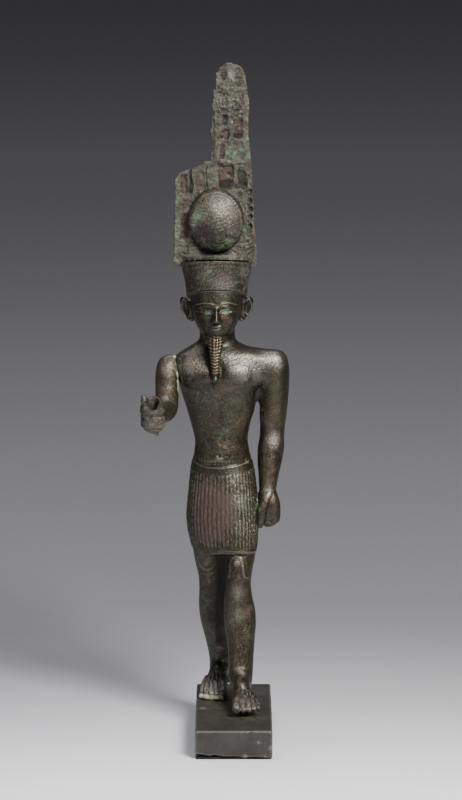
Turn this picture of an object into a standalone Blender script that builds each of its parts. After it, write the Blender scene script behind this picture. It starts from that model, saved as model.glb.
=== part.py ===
# A cast bronze statuette of a striding god in a plumed crown, on a rectangular plinth.
# Metres, +Z up. The figure faces -Y. The origin is the middle of the plinth's underside.
import math
from collections import namedtuple

import bmesh
import bpy
from mathutils import Vector

# Driving dimensions, in metres.
FIGURE_HEIGHT = 0.150      # from the soles to the middle of the crown's flat top
PLINTH_LENGTH = 0.069
PLINTH_WIDTH = 0.0262
PLINTH_HEIGHT = 0.0098
PLINTH_EDGE = 0.0005       # rounding of the plinth's edges
SOLE_LIFT = 0.0027         # the soles stand this far above the plinth, on the stubs of their tangs
JOINT_GAP = 0.0003         # clearance between pieces that meet
PLEAT_DEPTH = 0.00028
PLEAT_COUNT = 42
EAR_HEIGHT = 0.0084
EAR_WIDTH = 0.0048
GRIP_RADIUS = 0.0019       # the upright hole through the right fist
PLATE_THICKNESS = 0.0036
PANEL_DEPTH = 0.0006       # how far the plumes' vanes lie below their rims
DISC_WIDTH = 0.0188
DISC_HEIGHT = 0.0218
DISC_EDGE = 0.0016         # thickness of the sun disc at its rim
DISC_DOME = 0.0030         # rise of the disc's front above that rim
FOOT_RISE = 0.00195        # thickness of the ledge by which the headdress stands on the crown

# The figure is drawn 150 units tall, so a unit is a millimetre at the real height.
UNIT = FIGURE_HEIGHT / 150.0
GROUND = PLINTH_HEIGHT + SOLE_LIFT

Section = namedtuple("Section", "centre side front back square")


def place(x, y, z):
    """A point given in the figure's units, with z above the soles."""
    return Vector((x, y, z)) * UNIT + Vector((0.0, 0.0, GROUND))


def level(x, y, z, side, front, back, lean=0.0, skew=0.0, square=2.0):
    """A cross-section in the figure's units: z is above the soles, and lean tips its front up, in degrees."""
    tip = math.radians(lean)
    ahead = Vector((0.0, -math.cos(tip), math.sin(tip))) * UNIT
    across = Vector((side, skew * side, 0.0)) * UNIT
    return Section(place(x, y, z), across, ahead * front, -ahead * back, square)


def upright(x, y, z, tall, front, back, square=2.0):
    """A cross-section that faces sideways, for what runs along X. Its sizes are in the figure's units."""
    height, ahead, behind = (Vector(v) * UNIT for v in ((0, 0, tall), (0, -front, 0), (0, back, 0)))
    return Section(place(x, y, z), height, ahead, behind, square)


def between(a, b, c, d, t):
    """Catmull-Rom value between b and c."""
    square, cube = 2 * a - 5 * b + 4 * c - d, 3 * b - a - 3 * c + d
    return 0.5 * (2 * b + (c - a) * t + square * t * t + cube * t ** 3)


def refined(sections, steps):
    """The sections with steps - 1 more ones, on a smooth curve, between each pair."""
    made = []
    last = len(sections) - 1
    for i in range(last):
        around = [sections[max(i - 1, 0)], sections[i], sections[i + 1], sections[min(i + 2, last)]]
        for k in range(steps):
            made.append(Section(*(between(*values, k / steps) for values in zip(*around))))
    return made + [sections[-1]]


def section_point(section, angle):
    """The point of a section at an angle: 0 is its side, a quarter turn is its front."""
    power = 2.0 / section.square
    across, along = math.cos(angle), math.sin(angle)
    across = math.copysign(abs(across) ** power, across)
    depth = section.front if along > 0 else section.back
    return section.centre + section.side * across + depth * abs(along) ** power


def grown(section, extra):
    """The section with each half size larger by extra."""
    side, front, back = (v + v.normalized() * extra for v in (section.side, section.front, section.back))
    return Section(section.centre, side, front, back, section.square)


def loft(sections, sides, shape=None, spread=None):
    """A closed bmesh through the sections, made by extruding a circle of edges from each to the next."""
    bm = bmesh.new()
    angle_of = bm.verts.layers.float.new("angle")
    bmesh.ops.create_circle(bm, cap_ends=False, radius=1.0, segments=sides)
    for vert in bm.verts:
        angle = math.atan2(vert.co.y, vert.co.x)
        vert[angle_of] = spread(angle) if spread else angle

    def settle(verts, section, share):
        for vert in verts:
            vert.co = section_point(section, vert[angle_of])
            if shape:
                vert.co = shape(vert.co, vert[angle_of], section, share)

    verts, edges = bm.verts[:], bm.edges[:]
    settle(verts, sections[0], 0.0)
    first = edges
    for number, section in enumerate(sections[1:], 1):
        made = bmesh.ops.extrude_edge_only(bm, edges=edges)["geom"]
        verts = [g for g in made if isinstance(g, bmesh.types.BMVert)]
        edges = [g for g in made if isinstance(g, bmesh.types.BMEdge) and set(g.verts) <= set(verts)]
        settle(verts, section, number / (len(sections) - 1))
    bmesh.ops.contextual_create(bm, geom=first)
    bmesh.ops.contextual_create(bm, geom=edges)
    bmesh.ops.recalc_face_normals(bm, faces=bm.faces[:])
    return bm


def add_object(name, bm, material=None, cutter=False):
    """Puts a bmesh into the scene. A cutter only serves the Boolean of another object."""
    mesh = bpy.data.meshes.new(name)
    bm.to_mesh(mesh)
    bm.free()
    mesh.shade_smooth()
    mesh.set_sharp_from_angle(angle=math.radians(40))
    made = bpy.data.objects.new(name, mesh)
    bpy.context.scene.collection.objects.link(made)
    if material:
        mesh.materials.append(material)
    if cutter:
        made.hide_render = True
        made.display_type = "WIRE"
    return made


def combine(target, others, operation="UNION"):
    """Joins each of the others to the target, or cuts it with them, by Boolean modifiers."""
    for other in others:
        step = target.modifiers.new(other.name, "BOOLEAN")
        step.operation = operation
        step.solver = "EXACT"
        step.object = other
    return target


def mass(name, sections, sides, steps=1, shape=None, spread=None):
    """A hidden loft that a Boolean joins to a piece."""
    return add_object(name, loft(refined(sections, steps), sides, shape, spread), cutter=True)


def metal(name, colour, roughness):
    material = bpy.data.materials.new(name)
    material.use_nodes = True
    shader = material.node_tree.nodes["Principled BSDF"]
    shader.inputs["Base Color"].default_value = (*colour, 1.0)
    shader.inputs["Metallic"].default_value = 0.9
    shader.inputs["Roughness"].default_value = roughness
    return material


# The trunk, from inside the kilt up to the slope of the shoulders.
TORSO = [
    level(-3.9, 14.0, 72.0, 10.0, 7.6, 7.6),
    level(-3.9, 14.0, 80.0, 10.2, 7.6, 7.6),
    level(-4.0, 14.0, 84.6, 9.6, 7.0, 6.8),
    level(-4.2, 14.0, 88.5, 9.15, 6.4, 6.2),
    level(-4.4, 14.0, 92.0, 9.7, 6.4, 6.3),
    level(-4.5, 14.1, 95.5, 10.5, 6.7, 6.6),
    level(-4.4, 14.2, 99.0, 11.6, 7.1, 7.0),
    level(-4.7, 14.3, 103.5, 12.7, 7.6, 7.5, square=2.1),
    level(-5.0, 14.4, 106.4, 13.3, 8.1, 7.7, square=2.2),
    level(-5.2, 14.5, 109.0, 13.7, 9.3, 7.9, square=2.3),
    level(-5.3, 14.6, 112.5, 13.9, 9.3, 8.0, square=2.3),
    level(-5.4, 14.8, 116.0, 13.7, 8.3, 7.8, square=2.2),
    level(-5.4, 15.1, 119.0, 12.6, 6.9, 7.2, square=2.1),
    level(-5.4, 15.5, 121.0, 10.2, 5.8, 6.3),
    level(-5.4, 16.0, 123.0, 6.4, 4.6, 5.2),
]

# The slope of the shoulders, from the right one to the left one.
YOKE = [
    upright(-20.2, 14.0, 115.4, 1.9, 2.2, 2.4),
    upright(-19.2, 14.1, 115.5, 3.5, 4.2, 4.2),
    upright(-16.4, 14.5, 115.9, 4.2, 5.6, 5.6),
    upright(-12.5, 15.0, 116.6, 4.5, 6.4, 6.4),
    upright(-8.5, 15.4, 117.3, 5.4, 6.2, 6.8),
    upright(-2.0, 15.4, 117.5, 5.4, 6.2, 6.8),
    upright(2.0, 15.2, 117.2, 4.7, 6.6, 6.8),
    upright(6.0, 15.2, 116.6, 4.5, 6.4, 6.4),
    upright(10.0, 15.2, 115.9, 4.5, 5.9, 6.0),
    upright(13.8, 15.2, 115.0, 4.4, 5.4, 5.6),
    upright(16.4, 15.2, 114.2, 3.5, 4.4, 4.6),
    upright(18.2, 15.1, 113.4, 2.0, 2.6, 2.8),
]

NECK = [
    level(-5.4, 16.2, 118.0, 7.0, 5.6, 5.4),
    level(-5.5, 16.0, 122.0, 6.5, 5.4, 5.4),
    level(-5.6, 15.7, 125.5, 6.1, 5.4, 5.4),
    level(-5.7, 15.2, 130.0, 6.3, 6.0, 5.6),
]

# The jaw, cheeks and skull, up into the crown.
HEAD = [
    level(-5.9, 10.4, 125.6, 3.0, 4.3, 4.8),
    level(-5.9, 11.0, 126.4, 4.7, 6.0, 6.4),
    level(-5.9, 11.8, 127.9, 6.2, 7.5, 7.8),
    level(-5.9, 12.5, 129.9, 7.3, 8.5, 8.8),
    level(-5.9, 13.1, 132.3, 8.15, 9.2, 9.4),
    level(-5.9, 13.5, 134.9, 8.7, 9.6, 9.9),
    level(-5.9, 13.8, 137.7, 8.95, 9.75, 10.2),
    level(-5.9, 13.9, 140.7, 9.0, 9.5, 10.3),
    level(-5.9, 14.0, 144.4, 8.9, 9.2, 10.2),
]
CHIN = Vector((-5.9, 0.0, 125.5))   # the face is measured from the chin, in units

# The flaring crown, whose front edge rides higher than its back.
CROWN = [
    level(-5.8, 14.2, 138.2, 9.9, 10.7, 10.9, lean=20.0),
    level(-5.8, 14.2, 139.4, 10.15, 10.9, 11.0, lean=19.0),
    level(-5.8, 14.2, 143.0, 10.5, 11.2, 11.3, lean=16.0),
    level(-5.8, 14.2, 146.6, 11.2, 11.7, 11.7, lean=13.0),
    level(-5.85, 14.2, 149.2, 11.8, 12.1, 12.1, lean=11.5),
    level(-5.85, 14.2, 150.0, 11.9, 12.2, 12.2, lean=11.0),
]

BEARD = [
    level(-6.2, 7.2, 126.2, 2.3, 1.8, 3.0),
    level(-6.2, 5.8, 124.9, 2.7, 2.2, 3.2),
    level(-6.25, 4.4, 122.4, 2.45, 1.9, 2.6),
    level(-6.3, 3.7, 119.4, 2.1, 1.65, 2.3),
    level(-6.3, 3.7, 116.6, 1.8, 1.5, 2.3),
    level(-6.35, 4.0, 113.9, 1.5, 1.4, 2.4),
    level(-6.35, 4.1, 112.3, 1.2, 1.2, 2.2),
    level(-6.35, 3.8, 111.2, 0.7, 0.7, 1.4),
]
BRAID_STEPS = 3            # rings of the beard from one section to the next; every second one is raised
BRAID_RISE = 0.28 * UNIT

LEFT_ARM = [
    level(12.4, 15.2, 119.9, 3.0, 2.6, 2.8),
    level(13.0, 15.2, 118.6, 4.6, 4.6, 4.9),
    level(13.6, 15.1, 115.8, 5.2, 5.6, 5.8),
    level(14.0, 15.0, 112.0, 5.2, 5.7, 5.6),
    level(14.1, 14.9, 107.0, 5.0, 5.3, 5.2),
    level(13.85, 14.9, 101.5, 4.9, 5.0, 5.0),
    level(13.6, 14.9, 96.5, 4.6, 4.6, 4.75),
    level(13.4, 15.0, 92.8, 4.3, 4.2, 4.6),
    level(13.15, 14.9, 89.2, 4.35, 4.2, 4.9),
    level(12.9, 14.5, 85.8, 4.65, 4.4, 4.8),
    level(12.4, 13.7, 80.8, 4.2, 4.3, 4.3),
    level(12.1, 12.9, 76.0, 3.5, 3.8, 3.7),
    level(11.8, 12.2, 71.4, 3.0, 3.4, 3.3),
    level(11.8, 12.0, 68.6, 3.1, 3.6, 3.5),
]

# The left fist hangs with its palm to the thigh.
LEFT_PALM = [
    level(11.8, 12.0, 72.2, 2.7, 3.0, 3.0),
    level(11.9, 12.0, 69.8, 3.3, 3.8, 3.6, square=2.4),
    level(12.2, 12.0, 66.8, 3.5, 4.3, 4.1, square=2.8),
    level(12.3, 12.0, 63.8, 3.1, 4.1, 4.0, square=2.8),
    level(12.1, 12.0, 60.3, 2.0, 3.7, 3.7, square=2.8),
]
LEFT_THUMB = [
    level(12.6, 9.0, 70.6, 1.4, 1.0, 2.0),
    level(11.9, 7.9, 68.0, 1.45, 1.15, 1.6),
    level(11.2, 7.3, 65.4, 1.35, 1.1, 1.4),
    level(10.6, 7.2, 63.2, 1.05, 0.9, 1.2),
    level(10.4, 7.3, 62.4, 0.5, 0.4, 0.6),
]

# The rear leg is the right one, the front leg the left one.
REAR_LEG = [
    level(-8.1, 15.8, 56.0, 6.4, 6.4, 7.0),
    level(-7.9, 16.4, 49.8, 6.2, 6.2, 6.6),
    level(-7.6, 17.4, 44.4, 5.5, 5.1, 5.6),
    level(-7.2, 18.2, 39.6, 4.9, 4.6, 4.7),
    level(-7.0, 19.0, 34.8, 4.9, 4.2, 5.0),
    level(-6.9, 20.1, 29.6, 5.2, 4.1, 6.0),
    level(-6.6, 21.4, 24.2, 5.1, 3.9, 6.0),
    level(-6.1, 22.9, 17.8, 4.45, 3.6, 4.8),
    level(-5.5, 24.2, 12.2, 3.85, 3.2, 3.6),
    level(-5.2, 25.2, 7.8, 3.5, 3.0, 3.2),
    level(-5.3, 25.8, 4.6, 3.5, 4.2, 3.6),
    level(-5.4, 26.0, 1.8, 3.1, 4.2, 3.8),
]
FRONT_LEG = [
    level(2.6, 10.4, 57.5, 5.0, 5.4, 7.0),
    level(2.6, 9.2, 52.0, 5.2, 5.4, 6.2),
    level(2.5, 7.9, 47.6, 4.75, 5.1, 5.2),
    level(2.2, 6.7, 43.8, 4.25, 4.7, 4.6),
    level(2.05, 6.2, 39.6, 3.98, 4.2, 4.7),
    level(2.05, 6.1, 35.5, 4.35, 3.9, 5.4),
    level(2.35, 5.9, 31.0, 5.0, 4.0, 6.2),
    level(2.55, 5.4, 26.3, 5.15, 3.9, 6.1),
    level(2.7, 4.2, 20.2, 4.7, 3.7, 5.0),
    level(2.7, 2.9, 15.2, 4.2, 3.4, 4.0),
    level(2.6, 1.7, 10.2, 3.7, 3.2, 3.4),
    level(2.5, 0.7, 6.2, 3.4, 3.6, 3.5),
    level(2.5, 0.2, 2.4, 3.1, 3.4, 3.8),
]


def foot_sections(ankle_x, heel_y, toe_x):
    """The foot from its heel's back, at heel_y, forward, with its middle at ankle_x and then at toe_x."""
    rows = [
        # forward, share of the way to the toes' x, z, half width, above, below
        (0.2, 0.0, 2.3, 1.6, 1.6, 1.3),
        (1.2, 0.0, 2.4, 2.7, 2.6, 2.1),
        (3.6, 0.0, 2.5, 3.2, 3.4, 2.4),
        (7.2, 0.1, 2.7, 3.2, 4.4, 2.6),
        (10.8, 0.3, 2.6, 3.3, 3.6, 2.5),
        (14.2, 0.6, 2.2, 3.8, 2.5, 2.1),
        (17.2, 0.85, 1.8, 4.2, 1.6, 1.7),
        (18.4, 1.0, 1.5, 4.0, 1.0, 1.3),
    ]
    sections = []
    for ahead, share, z, half, above, below in rows:
        x = ankle_x + (toe_x - ankle_x) * share
        sections.append(level(x, heel_y - ahead, z, half, above, below, lean=90.0, square=2.6))
    return sections


def toe_sections(root_x, x, y, z, half, length):
    """One toe, from root_x inside the foot to its rounded tip at x."""
    rows = [(0.0, 0.9, 1.15, 0.4), (0.7, 1.0, 1.15, 0.1), (0.93, 0.8, 0.85, 0.0), (1.0, 0.35, 0.35, 0.0)]
    sections = []
    for ahead, wide, tall, lift in rows:
        middle = root_x + (x - root_x) * min(1.0, ahead / 0.7)
        height = half * tall
        sections.append(
            level(middle, y - length * ahead, z + half ** 4 * lift, half * wide, height, height, lean=90.0)
        )
    return sections


def toes(name, toe_x, heel_y, big_toe_side):
    """The five toes as hidden masses. big_toe_side is +1 where the big toe is at +X."""
    rows = [(-3.2, 1.3, 21.6), (-0.95, 1.02, 21.5), (0.9, 0.98, 21.0), (2.6, 0.92, 20.2), (4.05, 0.84, 19.0)]
    made = []
    root = 13.5          # how far ahead of the heel's back the toes begin
    for number, (offset, half, reach) in enumerate(rows):
        x = toe_x - big_toe_side * offset
        root_x = toe_x - big_toe_side * offset * 0.62
        sections = toe_sections(root_x, x, heel_y - root, 1.3, half, reach - root)
        made.append(mass(f"{name}_toe_{number}", sections, 7))
    return made


def tang(name, x, heel_y):
    """The stub under a sole that holds the foot up off the plinth."""
    top = level(x, heel_y - 9.0, 1.2, 2.3, 5.6, 5.0, square=3.0)
    low = Vector((top.centre.x, top.centre.y, PLINTH_HEIGHT + JOINT_GAP))
    return mass(name, [top._replace(centre=low), top], 10)


def pleats(point, angle, section, share):
    """Presses the kilt's flutes into its surface, and lets them die away at the belt and the hem."""
    belt, hem = 0.10, 0.92
    along = min(1.0, max(0.0, (share - belt) / (hem - belt)))
    swell = math.sin(math.pi * along) ** 0.35 if 0.0 < along < 1.0 else 0.0
    wave = 0.5 - 0.5 * math.cos(angle * PLEAT_COUNT)
    inward = section.centre - point
    inward.z = 0.0
    return point + inward.normalized() * PLEAT_DEPTH * wave * swell


KILT = [
    level(-3.95, 14.0, 82.0, 9.6, 6.8, 6.6),
    level(-3.9, 14.0, 81.6, 10.45, 7.7, 7.4, lean=-5.0),
    level(-3.85, 14.0, 79.4, 10.85, 8.1, 7.9, lean=-5.0),
    level(-3.75, 14.0, 72.4, 11.7, 8.8, 9.0, lean=-3.0, skew=-0.07),
    level(-3.9, 13.7, 61.8, 12.5, 9.5, 9.7, skew=-0.24),
    level(-3.6, 13.3, 53.8, 11.9, 9.4, 9.6, lean=-1.0, skew=-0.4),
    level(-3.3, 13.0, 51.0, 11.35, 9.2, 9.4, lean=-2.0, skew=-0.45),
    level(-3.25, 13.0, 50.4, 10.6, 8.4, 8.6, lean=-2.0, skew=-0.45),
]


def bump(value, middle, spread):
    return math.exp(-((value - middle) / spread) ** 2)


def face_relief(u, w):
    """How far the face stands forward at u across from its middle line and w above the chin, in units."""
    side = abs(u)
    nose_share = min(1.0, max(0.0, (10.6 - w) / 4.6))
    nose = (0.45 + 1.75 * nose_share) * bump(u, 0.0, 0.85 + 0.45 * nose_share ** 3)
    nose *= 1.0 / (1.0 + math.exp(-(w - 5.35) / 0.16)) * bump(max(w - 9.8, 0.0), 0.0, 1.2)
    socket = -1.15 * bump(side, 2.9, 1.9) * bump(w, 9.0, 1.25)
    eyeball = 1.0 * bump(side, 3.25, 1.45) * bump(w, 8.9, 0.75)
    brow = 0.55 * bump(w, 10.75 - 0.045 * (side - 3.0) ** 2, 0.5) * bump(side, 3.2, 3.0)
    cheek = 0.35 * bump(side, 4.3, 2.2) * bump(w, 5.4, 2.0)
    lip_arc = 0.035 * side * side
    lips = bump(side, 0.0, 2.3) * (0.75 * bump(w, 3.85 + lip_arc, 0.5) + 0.7 * bump(w, 2.75 + lip_arc, 0.5))
    mouth_line = -0.3 * bump(w, 3.3 + lip_arc, 0.22) * bump(side, 0.0, 2.5)
    chin = 0.5 * bump(u, 0.0, 2.2) * bump(w, 0.9, 1.0)
    return nose + socket + eyeball + brow + cheek + lips + mouth_line + chin


def face(point, angle, section, share):
    """Moves the front of the head by the face's relief."""
    facing = max(0.0, math.sin(angle)) ** 0.5
    u = point.x / UNIT - CHIN.x
    w = (point.z - GROUND) / UNIT - CHIN.z
    return point + Vector((0.0, -face_relief(u, w) * UNIT * facing, 0.0))


def gather_forward(angle):
    """Bunches the head's points towards the face, which needs the most of them."""
    return angle + 0.42 * math.cos(angle)


def braid(point, angle, section, share):
    """The rounds of the plaited beard."""
    ring = round(share * (len(BEARD) - 1) * BRAID_STEPS)
    rise = BRAID_RISE if ring % 2 and share < 0.85 else 0.0
    out = point - section.centre
    out.z = 0.0
    return point + out.normalized() * rise


def ear(name, side):
    """A cupped oval that stands out from the head, turned back and tipped outward. side is +1 at +X."""
    across = Vector((side * 0.78, 0.62, 0.0)).normalized() * EAR_WIDTH / 2
    up = Vector((side * 0.38, 0.12, 1.0)).normalized() * EAR_HEIGHT / 2
    facing = up.cross(across).normalized() * -side * UNIT
    root = place(-5.9 + side * 9.9, 15.2, 134.4)
    rows = [(-0.75, 0.6), (-0.3, 1.0), (0.7, 0.92), (0.55, 0.66), (-0.05, 0.45)]
    sections = [
        Section(root + facing * ahead, across * share, up * share, -up * share, 2.0)
        for ahead, share in rows
    ]
    return mass(name, sections, 10)


def finger(name, centre, across, up, radius, start, end, thick, tall):
    """A finger curled round an axis: an arc of degrees in the plane of across and its normal."""
    normal = up.cross(across)
    sections = []
    for k in range(6):
        angle = math.radians(start + (end - start) * k / 5)
        out = across * math.cos(angle) + normal * math.sin(angle)
        taper = 0.6 if k in (0, 5) else 1.0
        height = up * tall * taper
        sections.append(Section(centre + out * radius, out * thick * taper, height, -height, 2.2))
    return mass(name, sections, 7)


# The right shoulder, rounded where the separately cast arm is joined to it.
SHOULDER = [
    level(-15.0, 14.8, 119.6, 2.4, 2.4, 2.6),
    level(-15.4, 14.6, 118.2, 4.2, 4.6, 4.8),
    level(-15.6, 14.2, 115.6, 4.8, 5.8, 5.6),
    level(-15.4, 13.8, 112.4, 4.5, 6.2, 6.0),
    level(-15.0, 13.6, 109.0, 3.9, 5.8, 5.8),
    level(-14.6, 13.6, 106.0, 3.0, 4.8, 5.0),
    level(-14.2, 13.8, 103.8, 1.8, 3.2, 3.4),
]

RIGHT_ARM = [
    level(-20.6, 16.0, 118.0, 1.9, 2.0, 2.2, lean=15.0),
    level(-21.6, 15.4, 117.0, 3.3, 3.7, 3.9, lean=22.0),
    level(-22.3, 14.0, 115.0, 4.0, 4.3, 4.6, lean=30.0),
    level(-22.8, 11.4, 111.8, 4.1, 4.2, 4.6, lean=38.0),
    level(-22.9, 8.0, 108.0, 4.0, 4.0, 4.3, lean=42.0),
    level(-22.9, 4.8, 104.6, 3.95, 3.8, 4.0, lean=50.0),
    level(-22.9, 1.6, 102.2, 3.95, 3.8, 3.9, lean=70.0),
    level(-23.4, -2.6, 101.4, 3.8, 3.7, 3.7, lean=92.0),
    level(-24.4, -7.2, 102.0, 3.4, 3.3, 3.5, lean=98.0),
    level(-25.5, -11.6, 102.7, 2.9, 2.8, 3.2, lean=98.0),
    level(-26.3, -15.0, 103.3, 2.9, 2.9, 3.4, lean=98.0),
]
RIGHT_PALM = [
    level(-26.3, -14.0, 103.2, 2.6, 2.8, 3.2, lean=98.0),
    level(-27.0, -16.4, 103.5, 3.4, 4.2, 4.4, lean=92.0, square=2.6),
    level(-27.5, -19.0, 103.7, 3.9, 5.2, 4.7, lean=90.0, square=2.8),
    level(-27.6, -21.4, 103.7, 3.7, 5.0, 4.7, lean=90.0, square=2.8),
    level(-27.6, -23.0, 103.6, 2.9, 4.4, 4.2, lean=90.0, square=2.6),
]
GRIP = Vector((-27.1, -20.4, 103.0))


def build_figure(bronze):
    figure = add_object("figure", loft(TORSO, 20), bronze)
    parts = [
        mass("yoke", YOKE, 12),
        mass("neck", NECK, 14),
        mass("head", HEAD, 32, 2, face, gather_forward),
        mass("crown", CROWN, 28),
        mass("beard", BEARD, 9, BRAID_STEPS, braid),
        ear("ear_right", -1),
        ear("ear_left", 1),
        mass("shoulder_right", SHOULDER, 12),
        mass("arm_left", LEFT_ARM, 14),
        mass("palm_left", LEFT_PALM, 12),
        mass("thumb_left", LEFT_THUMB, 8),
        mass("leg_rear", REAR_LEG, 14),
        mass("leg_front", FRONT_LEG, 14),
        mass("foot_rear", foot_sections(-5.8, 31.4, -7.6), 12),
        mass("foot_front", foot_sections(2.5, 5.2, 3.9), 12),
        tang("tang_rear", -6.6, 31.4),
        tang("tang_front", 3.0, 5.2),
        mass("kilt", KILT, 2 * PLEAT_COUNT, 1, pleats),
    ]
    knuckles = place(12.1, 12.0, 62.3)
    ahead, across = Vector((0.0, -1.0, 0.0)), Vector((1.0, 0.0, 0.0))
    parts += [
        finger(f"finger_left_{n}", knuckles + ahead * (3.2 - 2.1 * n) * UNIT, across, ahead, 2.1 * UNIT,
               40.0, -205.0, 1.3 * UNIT, 1.15 * UNIT)
        for n in range(4)
    ]
    parts += toes("rear", -7.9, 31.4, 1)
    parts += toes("front", 4.0, 5.2, -1)
    return combine(figure, parts)


def build_right_arm(bronze):
    arm = add_object("right_arm", loft(RIGHT_ARM, 14), bronze)
    centre = place(*GRIP)
    up, across = Vector((0, 0, 1)), Vector((1, 0, 0))
    fingers = [
        finger(f"finger_{n}", centre + up * (1.6 - 2.35 * n) * UNIT, across, up, 2.75 * UNIT, -205.0, 15.0,
               1.45 * UNIT, 1.3 * UNIT)
        for n in range(3)
    ]
    combine(arm, [mass("palm_right", RIGHT_PALM, 16, 1), *fingers])
    bore = bmesh.new()
    bmesh.ops.create_cone(bore, cap_ends=True, segments=16, radius1=GRIP_RADIUS, radius2=GRIP_RADIUS,
                          depth=24 * UNIT)
    bmesh.ops.translate(bore, verts=bore.verts[:], vec=centre)
    torn = bmesh.new()
    bmesh.ops.create_icosphere(torn, subdivisions=2, radius=3.3 * UNIT)
    bmesh.ops.scale(torn, verts=torn.verts[:], vec=(0.95, 1.1, 1.15))
    bmesh.ops.translate(torn, verts=torn.verts[:], vec=centre + Vector((0.4, -3.2, 5.6)) * UNIT)
    cutters = [
        add_object("grip_bore", bore, cutter=True),
        add_object("torn_grip", torn, cutter=True),
        mass("shoulder_seat", [grown(s, JOINT_GAP) for s in SHOULDER], 12),
        mass("yoke_seat", [grown(s, JOINT_GAP) for s in YOKE], 12),
        mass("torso_seat", [grown(s, JOINT_GAP) for s in TORSO], 20),
    ]
    return combine(arm, cutters, "DIFFERENCE")


# The headdress's outline from the front, in units from the soles, beginning at its lower left corner.
PLATE_LEFT = [(-20.6, 148.6), (-20.9, 150.4), (-20.5, 156.2), (-20.35, 164.8), (-20.2, 175.2), (-20.1, 178.4)]
PLATE_BREAK = [(-19.2, 180.6), (-17.2, 182.1), (-14.4, 182.8), (-11.6, 184.0), (-9.4, 185.3), (-8.2, 185.6)]
PLUME_LEFT = [(-8.2, 190.0), (-8.2, 196.0), (-7.8, 202.6), (-7.55, 208.0), (-6.9, 212.6)]
PLUME_TIP = [(-5.9, 215.9), (-4.4, 217.7), (-2.6, 218.5), (-0.9, 218.7), (0.8, 218.4), (2.5, 217.5),
             (3.7, 215.9)]
PLUME_RIGHT = [(4.8, 212.6), (5.25, 208.0), (5.6, 202.6), (5.8, 196.0), (6.05, 188.0), (6.3, 181.0)]
PLATE_RIGHT = [(6.6, 175.2), (7.3, 164.8), (7.7, 156.2), (8.2, 150.4), (7.9, 148.6)]
PLATE_Y = 17.6          # the middle of the plate's thickness, in units
PLATE_LEAN = 0.04       # how far the plate leans back for each unit of height
DISC = Vector((-6.1, 0.0, 164.4))


def plate_point(x, z, ahead):
    """A point of the headdress plate: ahead is metres forward of the middle of its thickness."""
    return place(x, PLATE_Y + (z - 150.0) * PLATE_LEAN, z) - Vector((0.0, ahead, 0.0))


def slab(outline, back, front):
    """A flat bmesh of an outline, drawn forward from back to front."""
    bm = bmesh.new()
    verts = [bm.verts.new(plate_point(x, z, back)) for x, z in outline]
    made = bmesh.ops.extrude_face_region(bm, geom=[bm.faces.new(verts)])["geom"]
    moved = [g for g in made if isinstance(g, bmesh.types.BMVert)]
    bmesh.ops.translate(bm, verts=moved, vec=(0.0, back - front, 0.0))
    bmesh.ops.recalc_face_normals(bm, faces=bm.faces[:])
    return bm


def vane_cells():
    """Rectangles (x0, x1, z0, z1) of the plumes' vanes, which lie lower than their rims, quills and bars."""
    cells = []
    bar, rows, bottom, top = 0.55, 8, 177.2, 214.4
    pitch = (top - bottom) / rows
    for row in range(rows):
        low = bottom + row * pitch
        narrow = 0.85 if row == rows - 1 else 0.0
        cells.append((-6.0 + narrow, -1.5, low, low + pitch - bar))
        cells.append((-0.6, 3.9 - narrow, low, low + pitch - bar))
    for x0, x1 in ((-18.9, -16.1), (-15.2, -9.6)):
        cells.append((x0, x1, 176.2, 179.6))
    cells.append((-19.3, -16.2, 158.4, 175.4))
    cells.append((4.2, 6.1, 158.4, 174.4))
    return cells


def build_headdress(bronze):
    half = PLATE_THICKNESS / 2
    outline = PLATE_LEFT + PLATE_BREAK + PLUME_LEFT + PLUME_TIP + PLUME_RIGHT + PLATE_RIGHT
    plate = add_object("plumes_and_disc", slab(outline, -half, half), bronze)
    vanes = bmesh.new()
    for x0, x1, z0, z1 in vane_cells():
        cell = slab([(x0, z0), (x1, z0), (x1, z1), (x0, z1)], half - PANEL_DEPTH, half + PLATE_THICKNESS)
        scrap = bpy.data.meshes.new("cell")
        cell.to_mesh(scrap)
        cell.free()
        vanes.from_mesh(scrap)
        bpy.data.meshes.remove(scrap)
    combine(plate, [add_object("vanes", vanes, cutter=True)], "DIFFERENCE")

    face_at = plate_point(DISC.x, DISC.z, half)
    rows = [(-PLATE_THICKNESS / 3, 1.0), (DISC_EDGE * 0.75, 1.0), (DISC_EDGE, 0.97)]
    for swing in (0.35, 0.7, 1.05, 1.35, 1.52):
        rows.append((DISC_EDGE + DISC_DOME * math.sin(swing), 0.97 * math.cos(swing)))
    disc = [
        Section(face_at + Vector((0.0, -ahead, 0.0)), Vector((DISC_WIDTH / 2 * share, 0, 0)),
                Vector((0, 0, DISC_HEIGHT / 2 * share)), Vector((0, 0, -DISC_HEIGHT / 2 * share)), 2.0)
        for ahead, share in rows
    ]
    rim = CROWN[-1]
    foot = []
    for rise, share in ((0.0, 1.0), (FOOT_RISE - 0.0004, 1.0), (FOOT_RISE, 0.97)):
        centre = rim.centre + Vector((0.0, 0.0, JOINT_GAP + rise))
        foot.append(
            Section(centre, rim.side * 0.96 * share, rim.front * 0.94 * share, rim.back * 0.5 * share, 2.1)
        )
    combine(plate, [mass("sun_disc", disc, 28), mass("crown_foot", foot, 20)])
    crown_seat = mass("crown_seat", [grown(s, JOINT_GAP) for s in CROWN[:-1]] + [crown_lid()], 28)
    return combine(plate, [crown_seat], "DIFFERENCE")


def crown_lid():
    """The crown's top section, raised by the clearance, so that the headdress sits just over it."""
    rim = grown(CROWN[-1], JOINT_GAP)
    return Section(rim.centre + Vector((0.0, 0.0, JOINT_GAP)), rim.side, rim.front, rim.back, rim.square)


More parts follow.
